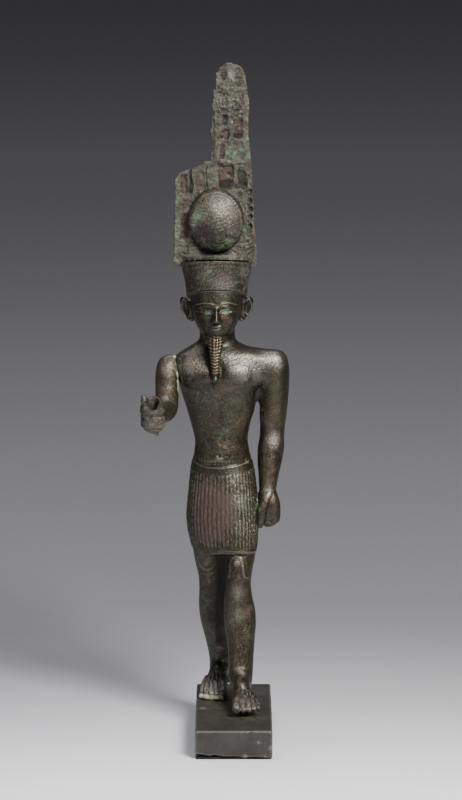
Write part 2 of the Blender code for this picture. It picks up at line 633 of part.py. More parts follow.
def build_plinth(bronze):
    bm = bmesh.new()
    bmesh.ops.create_cube(bm, size=1.0)
    bmesh.ops.scale(bm, verts=bm.verts[:], vec=(PLINTH_WIDTH, PLINTH_LENGTH, PLINTH_HEIGHT))
    bmesh.ops.translate(bm, verts=bm.verts[:], vec=(0.0, 0.0, PLINTH_HEIGHT / 2))
    bmesh.ops.bevel(
        bm, geom=bm.edges[:], offset=PLINTH_EDGE, affect="EDGES", segments=2, profile=0.5, material=-1
    )
    return add_object("plinth", bm, bronze)


def main():
    for old in list(bpy.data.objects):
        bpy.data.objects.remove(old)
    build_figure(metal("dark_bronze", (0.10, 0.075, 0.05), 0.42))
    build_right_arm(metal("arm_bronze", (0.13, 0.10, 0.07), 0.5))
    build_headdress(metal("green_bronze", (0.12, 0.11, 0.085), 0.55))
    build_plinth(metal("plinth_bronze", (0.055, 0.05, 0.045), 0.55))


main()
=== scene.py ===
import math
from itertools import product

import bmesh
import bpy
import numpy as np
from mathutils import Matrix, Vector, kdtree


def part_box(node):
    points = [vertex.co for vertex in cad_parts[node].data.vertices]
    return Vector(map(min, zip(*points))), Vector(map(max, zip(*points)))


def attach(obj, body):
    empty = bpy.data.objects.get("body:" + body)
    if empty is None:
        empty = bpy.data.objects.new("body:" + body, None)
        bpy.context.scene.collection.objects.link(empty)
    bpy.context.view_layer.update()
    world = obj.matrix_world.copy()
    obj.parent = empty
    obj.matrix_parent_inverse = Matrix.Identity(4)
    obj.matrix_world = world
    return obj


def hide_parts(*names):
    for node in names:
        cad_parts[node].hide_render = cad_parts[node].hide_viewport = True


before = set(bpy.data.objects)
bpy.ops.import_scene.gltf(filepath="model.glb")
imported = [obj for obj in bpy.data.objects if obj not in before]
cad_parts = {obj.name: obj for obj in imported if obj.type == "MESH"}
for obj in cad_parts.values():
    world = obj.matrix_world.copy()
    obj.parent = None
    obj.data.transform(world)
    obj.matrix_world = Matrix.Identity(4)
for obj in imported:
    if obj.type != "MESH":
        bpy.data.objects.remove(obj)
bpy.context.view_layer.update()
print("frame: loaded", sorted(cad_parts))

# The pieces are shaped in the figure's own units, a millimetre at its real height, with z above the soles.
figureSizes = {"plumeTop": 218.7, "soleLift": 0.0027, "seam": 0.16}
plinthLow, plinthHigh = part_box("plinth")
ground = plinthHigh.z + figureSizes["soleLift"]
unit = (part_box("plumes_and_disc")[1].z - ground) / figureSizes["plumeTop"]


# Camera, light and floor.
view = {"lens": 180.0, "sensor": 36.0, "distance": 1.38, "pitch": 9.4, "aim": (-0.0009, 0.014, 0.115)}
studio = {
    # name, place, aimed at, width, height, watts, colour
    "key": ((0.40, -0.66, 0.80), (0.0, 0.0, 0.13), 0.34, 0.34, 22.0, (1.0, 0.985, 0.965)),
    "fill": ((-0.95, -0.75, 0.42), (0.0, 0.0, 0.12), 0.35, 0.7, 2.6, (0.94, 0.96, 1.0)),
    "top": ((-0.15, 0.3, 1.0), (0.0, 0.0, 0.1), 0.6, 0.6, 5.0, (1.0, 1.0, 1.0)),
}
floorLook = {
    "radius": 14.0, "reach": 6.0, "world": (0.10, 0.10, 0.105), "tint": (1.0, 0.985, 1.045),
    "light_pool_centre": (0.0, -0.25, 0.0),
    # metres from the centre of the painted pool of light, before the plinth, and how pale the paper is painted there,
    # standing in for the light's falloff
    "tones": [(0, 0.95), (0.18, 0.95), (0.215, 0.8), (0.24, 0.7), (0.27, 0.56), (0.3, 0.44), (0.33, 0.38),
        (0.36, 0.31), (0.4, 0.25), (0.43, 0.22), (0.47, 0.205), (0.57, 0.2), (0.68, 0.2), (0.96, 0.209),
        (1.33, 0.243), (1.87, 0.31), (2.24, 0.36), (2.71, 0.35), (3.8, 0.29), (6, 0.25)],
}


def aimed(thing, place, target):
    thing.location = place
    thing.rotation_euler = (Vector(target) - Vector(place)).to_track_quat("-Z", "Y").to_euler()
    bpy.context.scene.collection.objects.link(thing)


def addCamera():
    lens = bpy.data.cameras.new("camera")
    lens.lens, lens.sensor_width = view["lens"], view["sensor"]
    lens.clip_start, lens.clip_end = 0.05, 60.0
    camera = bpy.data.objects.new("camera", lens)
    pitch = math.radians(view["pitch"])
    aim = Vector(view["aim"])
    aimed(camera, aim + view["distance"] * Vector((0.0, -math.cos(pitch), math.sin(pitch))), aim)
    bpy.context.scene.camera = camera


def addLights():
    for name, (place, target, width, height, watts, colour) in studio.items():
        panel = bpy.data.lights.new(name, "AREA")
        panel.shape = "RECTANGLE"
        panel.size, panel.size_y, panel.energy, panel.color = width, height, watts, colour
        aimed(bpy.data.objects.new(name, panel), place, target)
    world = bpy.data.worlds.new("studio")
    world.use_nodes = True
    world.node_tree.nodes["Background"].inputs["Color"].default_value = (*floorLook["world"], 1.0)
    bpy.context.scene.world = world


# Node helpers.
def node(tree, kind, inputs=(), **settings):
    made = tree.nodes.new(kind)
    for key, value in settings.items():
        setattr(made, key, value)
    for key, value in dict(inputs).items():
        if isinstance(value, bpy.types.NodeSocket):
            tree.links.new(value, made.inputs[key])
        else:
            made.inputs[key].default_value = value
    return made


def blend(tree, factor, under, over):
    # colours given as three numbers or as sockets
    pair = {0: factor}
    for key, value in ((6, under), (7, over)):
        pair[key] = value if isinstance(value, bpy.types.NodeSocket) else (*value, 1.0)
    return node(tree, "ShaderNodeMix", pair, data_type="RGBA").outputs[2]


def stretch(tree, value, low, high, start=0.0, end=1.0):
    given = {"Value": value, "From Min": low, "From Max": high, "To Min": start, "To Max": end}
    return node(tree, "ShaderNodeMapRange", given, interpolation_type="SMOOTHSTEP").outputs[0]


def sums(tree, operation, first, second=0.0, third=0.0):
    return node(tree, "ShaderNodeMath", {0: first, 1: second, 2: third}, operation=operation).outputs[0]


def grain(tree, place, size, detail=3.0, rough=0.55, warp=0.0, seed=0.0):
    # soft noise whose lumps are about size metres across
    given = {"Vector": place, "Scale": 1.0 / size, "Detail": detail, "Roughness": rough, "Distortion": warp, "W": seed}
    return node(tree, "ShaderNodeTexNoise", given, noise_dimensions="4D").outputs["Fac"]


def newMaterial(name):
    made = bpy.data.materials.new(name)
    made.use_nodes = True
    tree = made.node_tree
    return made, tree, tree.nodes["Principled BSDF"], node(tree, "ShaderNodeTexCoord").outputs["Object"]


def addFloor():
    bm = bmesh.new()
    bmesh.ops.create_circle(bm, cap_ends=True, radius=floorLook["radius"], segments=96)
    bmesh.ops.translate(bm, verts=bm.verts[:], vec=(0.0, 0.0, -0.0001))
    mesh = bpy.data.meshes.new("floor")
    bm.to_mesh(mesh)
    bm.free()
    floor = bpy.data.objects.new("floor", mesh)
    bpy.context.scene.collection.objects.link(floor)
    material, tree, shader, place = newMaterial("paper_with_painted_light_pool")
    # the paper's tone is painted light: pale near the plinth, darker away from it
    away = node(tree, "ShaderNodeVectorMath", {0: place, 1: floorLook["light_pool_centre"]}, operation="DISTANCE")
    ramp = node(tree, "ShaderNodeValToRGB", {0: sums(tree, "DIVIDE", away.outputs["Value"], floorLook["reach"])})
    stops = ramp.color_ramp.elements
    while len(stops) < len(floorLook["tones"]):
        stops.new(0.5)
    for stop, (distance, tone) in zip(stops, floorLook["tones"]):
        stop.position = distance / floorLook["reach"]
        stop.color = (*(tone * share for share in floorLook["tint"]), 1.0)
    tree.links.new(ramp.outputs["Color"], shader.inputs["Base Color"])
    shader.inputs["Roughness"].default_value = 0.9
    shader.inputs["Specular IOR Level"].default_value = 0.1
    mesh.materials.append(material)


addCamera()
addLights()
addFloor()
print("studio: camera, lights and floor")


# Shape helpers.
def bell(value, middle, spread):
    return np.exp(-(((value - middle) / spread) ** 2))


def rise(value, low, high):
    share = np.clip((value - low) / (high - low), 0.0, 1.0)
    return share * share * (3.0 - 2.0 * share)


def window(value, low, high, soft):
    return rise(value, low, low + soft) * (1.0 - rise(value, high - soft, high))


def cloud(points, size, seed=0, octaves=1):
    # smooth noise from -1 to 1, whose lumps are about size across
    total, weight = np.zeros(len(points)), 1.0
    for octave in range(octaves):
        spot = points / (size * 0.5 ** octave) + 31.7 * (seed + octave + 1)
        cell = np.floor(spot).astype(np.int64)
        share = spot - cell
        share = share * share * (3.0 - 2.0 * share)
        for corner in product((0, 1), repeat=3):
            key = (cell + corner) @ np.array((73856093, 19349663, 83492791))
            key = (key ^ (key >> 13)) * 1274126177
            value = ((key ^ (key >> 16)) & 0xFFFF) / 32767.5 - 1.0
            total += weight * value * np.prod(np.where(corner, share, 1.0 - share), axis=1)
        weight *= 0.5
    return total / (2.0 - 2.0 * weight)


def nearPath(across, up, path):
    # distance from each point to a line of straight runs, in two dimensions
    best = np.full(len(across), 1e9)
    for (x0, z0), (x1, z1) in zip(path, path[1:]):
        run = np.array((x1 - x0, z1 - z0))
        share = ((across - x0) * run[0] + (up - z0) * run[1]) / (run @ run)
        share = np.clip(share, 0.0, 1.0)
        best = np.minimum(best, np.hypot(across - x0 - run[0] * share, up - z0 - run[1] * share))
    return best


def level(x, y, z, side, front, back, lean=0.0, skew=0.0, square=2.0):
    tip = math.radians(lean)
    ahead = np.array((0.0, -math.cos(tip), math.sin(tip)))
    return np.concatenate([(x, y, z), (side, skew * side, 0.0), ahead * front, -ahead * back, (square,)])


def upright(x, y, z, tall, front, back, square=2.0):
    return np.array((x, y, z, 0.0, 0.0, tall, 0.0, -front, 0.0, 0.0, back, 0.0, square))


def levels(*rows):
    # x, y, z, half width, depth before and behind, then lean, skew and squareness where they differ
    return [level(*row) for row in rows]


def tilted(centre, side, up, square=2.0):
    return np.concatenate([centre, side, up, -np.array(up), (square,)])


def grown(rows, extra):
    rows = np.array(rows)
    for first in (3, 6, 9):
        half = rows[:, first:first + 3]
        half *= 1.0 + extra / np.maximum(np.linalg.norm(half, axis=1, keepdims=True), 1e-6)
    return rows


def along(rows, share):
    # the cross-sections on a smooth curve through the given ones
    last = len(rows) - 1
    spot = np.clip(share, 0.0, 1.0) * last
    low = np.minimum(spot.astype(int), last - 1)
    t = (spot - low)[:, None]
    a, b, c, d = (rows[np.clip(low + step, 0, last)] for step in (-1, 0, 1, 2))
    return 0.5 * (2 * b + (c - a) * t + (2 * a - 5 * b + 4 * c - d) * t ** 2 + (3 * b - a - 3 * c + d) * t ** 3)


def around(rows, share, angle):
    rows = along(rows, share)
    power = 2.0 / rows[:, 12:13]
    side, ahead = np.cos(angle)[:, None], np.sin(angle)[:, None]
    depth = np.where(ahead > 0.0, rows[:, 6:9], rows[:, 9:12]) * np.abs(ahead) ** power
    return rows[:, :3] + rows[:, 3:6] * np.sign(side) * np.abs(side) ** power + depth


def loft(rows, sides=48, steps=5, shape=None):
    # a grid rolled round the cross-sections and closed at both ends
    rows = np.array(rows)
    bm = bmesh.new()
    bmesh.ops.create_grid(bm, x_segments=sides, y_segments=(len(rows) - 1) * steps, size=0.5)
    flat = np.array([vert.co[:2] for vert in bm.verts])
    flat = (flat - flat.min(0)) / np.ptp(flat, axis=0)
    points = around(rows, flat[:, 1], 2.0 * math.pi * flat[:, 0])
    if shape:
        points = shape(points)
    for vert, point in zip(bm.verts, points):
        vert.co = point
    bmesh.ops.remove_doubles(bm, verts=bm.verts[:], dist=1e-4)
    bmesh.ops.holes_fill(bm, edges=[edge for edge in bm.edges if edge.is_boundary], sides=0)
    bmesh.ops.recalc_face_normals(bm, faces=bm.faces[:])
    return bm


def lump(centre, size, turn=0.0):
    bm = bmesh.new()
    bmesh.ops.create_icosphere(bm, subdivisions=3, radius=1.0)
    bmesh.ops.scale(bm, verts=bm.verts[:], vec=size)
    spin = Vector((0.0, 0.0, 1.0)).rotation_difference(Vector((math.sin(turn), 0.0, math.cos(turn))))
    bmesh.ops.rotate(bm, verts=bm.verts[:], cent=(0.0, 0.0, 0.0), matrix=spin.to_matrix())
    bmesh.ops.translate(bm, verts=bm.verts[:], vec=centre)
    return bm


def newObject(name, mesh):
    made = bpy.data.objects.new(name, mesh)
    bpy.context.scene.collection.objects.link(made)
    return made


def toMesh(name, bm):
    mesh = bpy.data.meshes.new(name)
    bm.to_mesh(mesh)
    bm.free()
    return mesh


def applied(thing):
    # bakes an object's modifiers into its mesh
    shown = bpy.context.evaluated_depsgraph_get()
    mesh = bpy.data.meshes.new_from_object(thing.evaluated_get(shown))
    thing.modifiers.clear()
    old, thing.data = thing.data, mesh
    bpy.data.meshes.remove(old)
    return thing


def fused(thing, look):
    skin = thing.modifiers.new("skin", "REMESH")
    skin.mode, skin.voxel_size = "VOXEL", look["voxel"]
    return applied(thing)


def carved(thing, cutters):
    # cuts closed shapes out of a closed piece
    for number, cutter in enumerate(cutters):
        tool = newObject(f"cutter_{number}", toMesh("cutter", cutter))
        cut = thing.modifiers.new("cut", "BOOLEAN")
        cut.operation, cut.solver, cut.object = "DIFFERENCE", "MANIFOLD", tool
        applied(thing)
        bpy.data.objects.remove(tool)


def cast(name, masses, look):
    # one skin round all the masses, and a tree that tells which mass a point belongs to
    whole, tree, labels = bmesh.new(), kdtree.KDTree(sum(len(bm.verts) for bm in masses.values())), []
    for number, bm in enumerate(masses.values()):
        for vert in bm.verts:
            tree.insert(vert.co, len(labels))
            labels.append(number)
        scrap = toMesh("mass", bm)
        whole.from_mesh(scrap)
        bpy.data.meshes.remove(scrap)
    tree.balance()
    piece = fused(newObject(name, toMesh(name, whole)), look)
    print(f"{name}: skin of {len(piece.data.vertices)} points")
    return piece, tree, np.array(labels), {mass: number for number, mass in enumerate(masses)}


def pointsOf(mesh):
    found = np.empty(len(mesh.vertices) * 3)
    mesh.vertices.foreach_get("co", found)
    return found.reshape(-1, 3)


def normalsOf(mesh):
    found = np.empty(len(mesh.vertices) * 3, np.float32)
    mesh.vertex_normals.foreach_get("vector", found)
    return found.reshape(-1, 3).astype(float)


def edgesOf(mesh):
    found = np.empty(len(mesh.edges) * 2, np.int32)
    mesh.edges.foreach_get("vertices", found)
    return found.reshape(-1, 2)


def settle(mesh, points):
    mesh.vertices.foreach_set("co", points.astype(np.float32).ravel())
    mesh.update()


def eased(values, edges, rounds, weight=1.0):
    # spreads each point's values over its neighbours
    first, second = edges.T
    count = np.maximum(np.bincount(edges.ravel(), minlength=len(values)), 1)[:, None]
    values = values.reshape(len(values), -1)
    for _ in range(rounds):
        total = [np.bincount(first, column[second], len(column)) + np.bincount(second, column[first], len(column))
                 for column in values.T]
        values = values + (np.column_stack(total) / count - values) * 0.5 * weight
    return values


def melted(points, edges, spots, rounds):
    # smooths the joins inside the spots: x, y, z, radius
    weight = np.clip(sum(bell(np.linalg.norm(points - spot[:3], axis=1), 0.0, spot[3]) for spot in spots), 0.0, 1.0)
    near = np.flatnonzero(weight > 0.02)
    number = np.full(len(points), -1)
    number[near] = np.arange(len(near))
    inner = number[edges]
    inner = inner[(inner >= 0).all(1)]
    points = points.copy()
    points[near] = eased(points[near], inner, rounds, weight[near, None])
    return points


def smoothed(mesh, look):
    # evens out the remesher's steps and melts the joins that the piece names
    edges = edgesOf(mesh)
    points = eased(pointsOf(mesh), edges, look["smoothRounds"])
    if "softened" in look:
        points = melted(points, edges, look["softened"], look["meltRounds"])
    settle(mesh, points)
    return points, edges


def raised(mesh, points, ways, lift):
    points = points + ways * lift[:, None]
    settle(mesh, points)
    return points, normalsOf(mesh)


def treeOf(points):
    tree = kdtree.KDTree(len(points))
    for number, point in enumerate(points):
        tree.insert(point, number)
    tree.balance()
    return tree


def ownersOf(points, tree, labels):
    return labels[[tree.find(point)[1] for point in points]]


def refined(mesh, boxes):
    # halves the faces inside the boxes, where the finest carving is
    bm = bmesh.new()
    bm.from_mesh(mesh)
    chosen = []
    for edge in bm.edges:
        x, y, z = (edge.verts[0].co + edge.verts[1].co) / 2
        if any(b[0] < x < b[1] and b[2] < y < b[3] and b[4] < z < b[5] for b in boxes):
            chosen.append(edge)
    bmesh.ops.subdivide_edges(bm, edges=chosen, cuts=1, use_grid_fill=True)
    bmesh.ops.triangulate(bm, faces=[face for face in bm.faces if len(face.verts) > 4])
    bm.to_mesh(mesh)
    bm.free()
    mesh.update()


def pitted(points, look, seed):
    # small round pits scattered over a surface, as lifts along its normals
    lift, tree, dice = np.zeros(len(points)), treeOf(points), np.random.default_rng(seed)
    smallest, largest = look["pitSize"]
    for start in dice.integers(0, len(points), look["pits"]):
        size = smallest + (largest - smallest) * dice.random() ** 3
        for _, number, away in tree.find_range(points[start], size * 1.6):
            lift[number] -= look["pitDepth"] * size * math.exp(-(away / size) ** 2 * 1.6)
    return lift


def hollowness(points, normals, edges):
    # 0 on a ridge, 0.5 on a flat, 1 in a groove
    fine = ((eased(points, edges, 4) - points) * normals).sum(1)
    broad = ((eased(points, edges, 26) - points) * normals).sum(1)
    return np.clip(0.5 + fine * 7.0 + broad * 1.6, 0.0, 1.0)


def finished(piece, dense, marks, look, cadNode, material):
    # thins the skin to its budget, gives it its marks and its real size, and takes the CAD node's place
    piece.data.calc_loop_triangles()
    faces = len(piece.data.loop_triangles)
    if faces > look["triangles"]:
        piece.modifiers.new("thin", "DECIMATE").ratio = look["triangles"] / faces
        applied(piece)
    mesh = piece.data
    points, tree = pointsOf(mesh), treeOf(dense)
    nearest = [tree.find(point)[1] for point in points]
    for name, values in marks.items():
        layer = mesh.attributes.new(name, "FLOAT", "POINT")
        layer.data.foreach_set("value", np.asarray(values)[nearest].astype(np.float32))
    settle(mesh, points * unit + np.array((0.0, 0.0, ground)))
    mesh.shade_smooth()
    mesh.materials.clear()
    mesh.materials.append(material)
    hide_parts(cadNode)
    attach(piece, "root")
    mesh.calc_loop_triangles()
    print(f"{piece.name}: {len(mesh.loop_triangles)} triangles")


# The figure: one casting, from the soles to the crown's flat top.
figureLook = {
    "voxel": 0.24, "quickVoxel": 0.42, "triangles": 192000, "smoothRounds": 3, "meltRounds": 150,
    "pleats": 50, "pleatDepth": 0.3, "belt": 80.0, "hem": 51.6,
    "middle": -5.4,                  # x of the trunk's middle line
    "chin": (-5.9, 125.5),           # the face is measured across and up from here
    "ear": {"high": 8.4, "wide": 4.8, "out": 9.9, "back": 15.2, "up": 134.4},
    "castingLumps": 0.07, "pits": 420, "pitSize": (0.14, 0.42), "pitDepth": 0.45,
    "crown": {"x": -5.85, "y": 14.2, "edge": 138.2, "frontRise": 3.9, "radius": 11.3},
    "strokes": {
        "seed": 4, "count": 900, "across": (-34.0, 34.0), "up": (0.4, 10.0), "slant": (0.95, 0.45),
        "length": (0.6, 1.6), "depth": (0.05, 0.12), "width": 0.14, "deepest": -0.3},
    # x of the ankle, the sole's front, the toes' middle, the gaps' roots and the tang, and y of the heel's back
    "feet": {
        "rear": {"ankle": -5.3, "sole": -6.4, "toes": -6.6, "root": -5.4, "tang": -6.4, "heel": 30.8, "bigSide": 1,
                 "down": 0.6},
        "front": {"ankle": 2.5, "sole": 3.9, "toes": 4.0, "root": 2.5, "tang": 3.0, "heel": 5.2, "bigSide": -1,
                  "down": 0.0}},
}

torsoRows = levels(
    (-3.9, 14, 72, 10, 7.6, 7.6), (-3.9, 14, 80, 10.2, 7.6, 7.6), (-4, 14, 84.6, 9.6, 7, 6.8),
    (-4.2, 14, 88.5, 9.15, 6.4, 6.2), (-4.4, 14, 92, 9.7, 6.4, 6.3), (-4.5, 14.1, 95.5, 10.5, 6.7, 6.6),
    (-4.4, 14.2, 99, 11.6, 7.1, 7), (-4.7, 14.3, 103.5, 12.7, 7.6, 7.5, 0, 0, 2.1),
    (-5, 14.4, 106.4, 13.3, 8.1, 7.7, 0, 0, 2.2), (-5.2, 14.5, 109, 13.7, 9, 7.9, 0, 0, 2.3),
    (-5.3, 14.6, 112.5, 13.9, 9.3, 8, 0, 0, 2.3), (-5.4, 14.8, 116, 13.7, 8.3, 7.8, 0, 0, 2.2),
    (-5.4, 15.1, 119, 12.6, 6.9, 7.2, 0, 0, 2.1), (-5.4, 15.5, 121, 10.2, 5.8, 6.3), (-5.4, 16, 123, 6.4, 4.6, 5.2))
yokeRows = [upright(*row) for row in (
    (-20.2, 14, 115.4, 1.9, 2.2, 2.4), (-19.2, 14.1, 115.5, 3.5, 4.2, 4.2), (-16.4, 14.5, 115.9, 4.2, 5.6, 5.6),
    (-12.5, 15, 116.6, 4.5, 6.4, 6.4), (-8.5, 15.4, 117.3, 5.4, 6.2, 6.8), (-2, 15.4, 117.5, 5.4, 6.2, 6.8),
    (2, 15.2, 117.2, 4.7, 6.6, 6.8), (6, 15.2, 116.6, 4.5, 6.4, 6.4), (10, 15.2, 115.9, 4.5, 5.9, 6),
    (13.8, 15.2, 115, 4.4, 5.4, 5.6), (16.4, 15.2, 114.2, 3.5, 4.4, 4.6), (18.2, 15.1, 113.4, 2, 2.6, 2.8))]
neckRows = levels(
    (-5.4, 16.2, 118, 7, 5.6, 5.4), (-5.5, 16, 122, 6.5, 5.4, 5.4), (-5.6, 15.7, 125.5, 6.1, 5.4, 5.4),
    (-5.7, 15.2, 130, 6.3, 6, 5.6))
headRows = levels(
    (-5.9, 10.4, 125.6, 3, 4.3, 4.8), (-5.9, 11, 126.4, 4.7, 6, 6.4), (-5.9, 11.8, 127.9, 6.2, 7.5, 7.8),
    (-5.9, 12.5, 129.9, 7.3, 8.5, 8.8), (-5.9, 13.1, 132.3, 8.15, 9.2, 9.4), (-5.9, 13.5, 134.9, 8.7, 9.6, 9.9),
    (-5.9, 13.8, 137.7, 8.95, 9.75, 10.2), (-5.9, 13.9, 140.7, 9, 9.5, 10.3), (-5.9, 14, 144.4, 8.9, 9.2, 10.2))
crownRows = levels(
    (-5.8, 14.2, 138.2, 9.9, 10.7, 10.9, 20), (-5.8, 14.2, 139.4, 10.15, 10.9, 11, 19),
    (-5.8, 14.2, 143, 10.5, 11.2, 11.3, 16), (-5.8, 14.2, 146.6, 11.2, 11.7, 11.7, 13),
    (-5.85, 14.2, 149.2, 11.8, 12.1, 12.1, 11.5), (-5.85, 14.2, 150, 11.9, 12.2, 12.2, 11))
beardRows = levels(
    (-6.2, 7.2, 126.2, 2.3, 1.8, 3), (-6.2, 5.8, 124.9, 2.7, 2.2, 3.2), (-6.25, 4.4, 122.4, 2.45, 1.9, 2.6),
    (-6.3, 3.7, 119.4, 1.9, 1.6, 2.3), (-6.3, 3.7, 116.6, 1.65, 1.5, 2.3), (-6.35, 4, 113.9, 1.4, 1.4, 2.4),
    (-6.35, 4.1, 111.9, 1.15, 1.2, 2.2), (-6.35, 3.8, 110.5, 0.7, 0.7, 1.4))
shoulderRows = levels(
    (-15, 14.8, 119.6, 2.4, 2.4, 2.6), (-15.4, 14.6, 118.2, 4.2, 4.6, 4.8), (-15.6, 14.2, 115.6, 4.8, 5.8, 5.6),
    (-15.4, 13.8, 112.4, 4.5, 6.2, 6), (-15, 13.6, 109, 3.9, 5.8, 5.8), (-14.6, 13.6, 106, 3, 4.8, 5),
    (-14.2, 13.8, 103.8, 1.8, 3.2, 3.4))
leftArmRows = levels(
    (12.4, 15.2, 119.9, 3, 2.6, 2.8), (13, 15.2, 118.6, 4.6, 4.6, 4.9), (13.6, 15.1, 115.8, 5.2, 5.6, 5.8),
    (14, 15, 112, 5.2, 5.7, 5.6), (14.1, 14.9, 107, 5, 5.3, 5.2), (13.85, 14.9, 101.5, 4.9, 5, 5),
    (13.6, 14.9, 96.5, 4.6, 4.6, 4.75), (13.4, 15, 92.8, 4.3, 4.2, 4.6), (13.15, 14.9, 89.2, 4.35, 4.2, 4.9),
    (12.9, 14.5, 85.8, 4.65, 4.4, 4.8), (12.4, 13.7, 80.8, 4.2, 4.3, 4.3), (12.1, 12.9, 76, 3.5, 3.8, 3.7),
    (11.8, 12.2, 71.4, 3, 3.4, 3.3), (11.8, 12, 68.6, 3.1, 3.6, 3.5))
leftPalmRows = levels(
    (11.8, 12, 72.2, 2.7, 3, 3), (11.9, 12, 69.8, 3.4, 3.8, 3.6, 0, 0, 2.4), (12.4, 12, 66.8, 3.7, 4.3, 4.1, 0, 0, 3),
    (12.6, 12, 63.4, 3.6, 4.3, 4.1, 0, 0, 3.6), (12.7, 12, 61.2, 3.3, 4.1, 4, 0, 0, 4),
    (12.7, 12, 60.3, 2.8, 3.6, 3.6, 0, 0, 4))
leftThumbRows = levels(
    (12, 9.2, 71.4, 1.5, 1, 2), (10.9, 8.1, 68.4, 1.75, 1.3, 1.8), (10, 7.5, 65.2, 1.7, 1.4, 1.9),
    (9.5, 7.3, 61.8, 1.5, 1.3, 1.8), (9.2, 7.6, 59.4, 1.1, 1, 1.3), (9.1, 7.8, 58.6, 0.5, 0.5, 0.6))
rearLegRows = levels(
    (-8.1, 15.8, 56, 6.4, 6.4, 7), (-7.9, 16.4, 49.8, 6.2, 6.2, 6.6), (-7.6, 17.4, 44.4, 5.5, 5.1, 5.6),
    (-7.1, 18.2, 39.6, 5, 4.6, 4.7), (-6.8, 19, 34.8, 5.1, 4.2, 5), (-6.6, 20.1, 29.6, 5.5, 4.1, 6),
    (-6.2, 21.4, 24.2, 5.5, 3.9, 6), (-5.1, 22.9, 17.8, 5.2, 3.6, 4.8), (-3.9, 24.2, 12.2, 5.1, 3.3, 3.6),
    (-3.5, 25, 7.8, 4.9, 3.4, 3.4), (-4.4, 25.8, 4.6, 4.1, 4.2, 3.6), (-5.4, 26, 1.8, 3.1, 4.2, 3.8))
frontLegRows = levels(
    (2.6, 10.4, 57.5, 5, 5.4, 7), (2.6, 9.2, 52, 5.2, 5.4, 6.2), (2.5, 7.9, 47.6, 4.75, 5.1, 5.2),
    (2, 6.7, 43.8, 4.45, 4.7, 4.6), (1.65, 6.2, 39.6, 4.35, 4.2, 4.7), (1.6, 6.1, 35.5, 4.8, 3.9, 5.4),
    (1.95, 5.9, 31, 5.4, 4, 6.2), (2.25, 5.4, 26.3, 5.45, 3.9, 6.1), (2.6, 4.2, 20.2, 4.8, 3.7, 5),
    (2.65, 2.9, 15.2, 4.4, 3.4, 4), (2.5, 1.7, 10.2, 4.2, 3.4, 3.5), (2.4, 0.7, 6.2, 4, 3.8, 3.6),
    (2.5, 0.2, 2.4, 3.1, 3.4, 3.8))
kiltRows = levels(
    (-3.95, 14, 82, 9.6, 6.8, 6.6), (-3.9, 14, 81.6, 10.45, 7.7, 7.4, -5), (-3.85, 14, 79.4, 10.85, 8.1, 7.9, -5),
    (-3.75, 14, 72.4, 11.7, 8.8, 9, -3, -0.07), (-3.9, 13.7, 61.8, 12.5, 9.5, 9.7, 0, -0.24),
    (-3.45, 13.3, 53.8, 11.7, 9.4, 9.6, -1, -0.4), (-3.05, 13, 51, 11, 9.2, 9.4, -2, -0.45),
    (-3, 13, 50.4, 10.3, 8.4, 8.6, -2, -0.45))


def kiltHem(points):
    # the hem hangs a little lower at the wearer's right
    points[:, 2] -= 1.5 * rise(-3.0 - points[:, 0], 0.0, 9.0) * rise(66.0 - points[:, 2], 0.0, 14.0)
    return points


def footRows(foot):
    # forward of the heel's back, share of the way to the toes' x, z, half width, above, below
    shape = [
        (0.2, 0, 2.3, 1.6, 1.6, 1.3), (1.2, 0, 2.4, 2.7, 2.6, 2.1), (3.6, 0, 2.5, 3.2, 3.4, 2.4),
        (7.2, 0.1, 2.7, 3.2, 5.4, 2.6), (10.8, 0.3, 2.6, 3.3, 4.3, 2.6), (13.6, 0.6, 2.1, 3.8, 2.9, 2.5),
        (15.4, 0.85, 1.5, 4.1, 2, 2.2), (16.6, 1, 1.1, 3.8, 1.2, 1.7)]
    ankleX, run = foot["ankle"], foot["sole"] - foot["ankle"]
    return [level(ankleX + run * share, foot["heel"] - ahead, z, half, above, below, lean=90.0, square=2.6)
            for ahead, share, z, half, above, below in shape]


# across, half width, reach and drop of each toe, the big one first
toeShape = [
    (-3.1, 1.5, 22.4, 1.3), (-0.7, 1.06, 22.2, 1.45), (1.2, 1, 21.6, 1.5), (2.9, 0.92, 20.6, 1.5),
    (4.35, 0.86, 19.3, 1.4)]


def toeMasses(name, foot):
    made, root = {}, 11.5
    for number, (offset, half, reach, drop) in enumerate(toeShape):
        tip, start = foot["toes"] - foot["bigSide"] * offset, foot["toes"] - foot["bigSide"] * offset * 0.62
        length, rows = reach - root, []
        for ahead, wide, tall, lift in ((0, 0.9, 1.1, 2.9), (0.5, 0.95, 1.1, 2.0), (0.75, 0.88, 0.95, 0.9),
                                        (0.9, 1.0, 1.05, 0.2), (0.97, 0.8, 0.8, -0.05), (1, 0.35, 0.35, -0.15)):
            x = start + (tip - start) * min(1.0, ahead / 0.7)
            z, high = 1.5 - drop - foot["down"] * ahead + lift, half * tall * 1.15
            rows.append(level(x, foot["heel"] - root - length * ahead, z, half * wide, high, high, lean=90.0))
        made[f"{name}Toe{number}"] = loft(rows, 20, 6)
    return made


def fingerMass(centre, across, up, radius, start, end, thick, tall):
    # a finger curled round an axis, from one angle to another in the plane of across and its normal
    across, up = np.array(across, float), np.array(up, float)
    over, rows = np.cross(up, across), []
    for step in range(8):
        angle = math.radians(start + (end - start) * step / 7)
        out = across * math.cos(angle) + over * math.sin(angle)
        taper = 0.62 if step in (0, 7) else 1.06 if step in (2, 4) else 0.96
        rows.append(tilted(np.array(centre) + out * radius, out * thick * taper, up * tall * taper, 2.2))
    return loft(rows, 20, 5)


def earAxes(side):
    across = np.array((side * 0.78, 0.62, 0.0))
    up = np.array((side * 0.38, 0.12, 1.0))
    across, up = across / np.linalg.norm(across), up / np.linalg.norm(up)
    facing = np.cross(up, across) * -side
    ear = figureLook["ear"]
    root = np.array((figureLook["chin"][0] + side * ear["out"], ear["back"], ear["up"]))
    return root, across, up, facing / np.linalg.norm(facing)


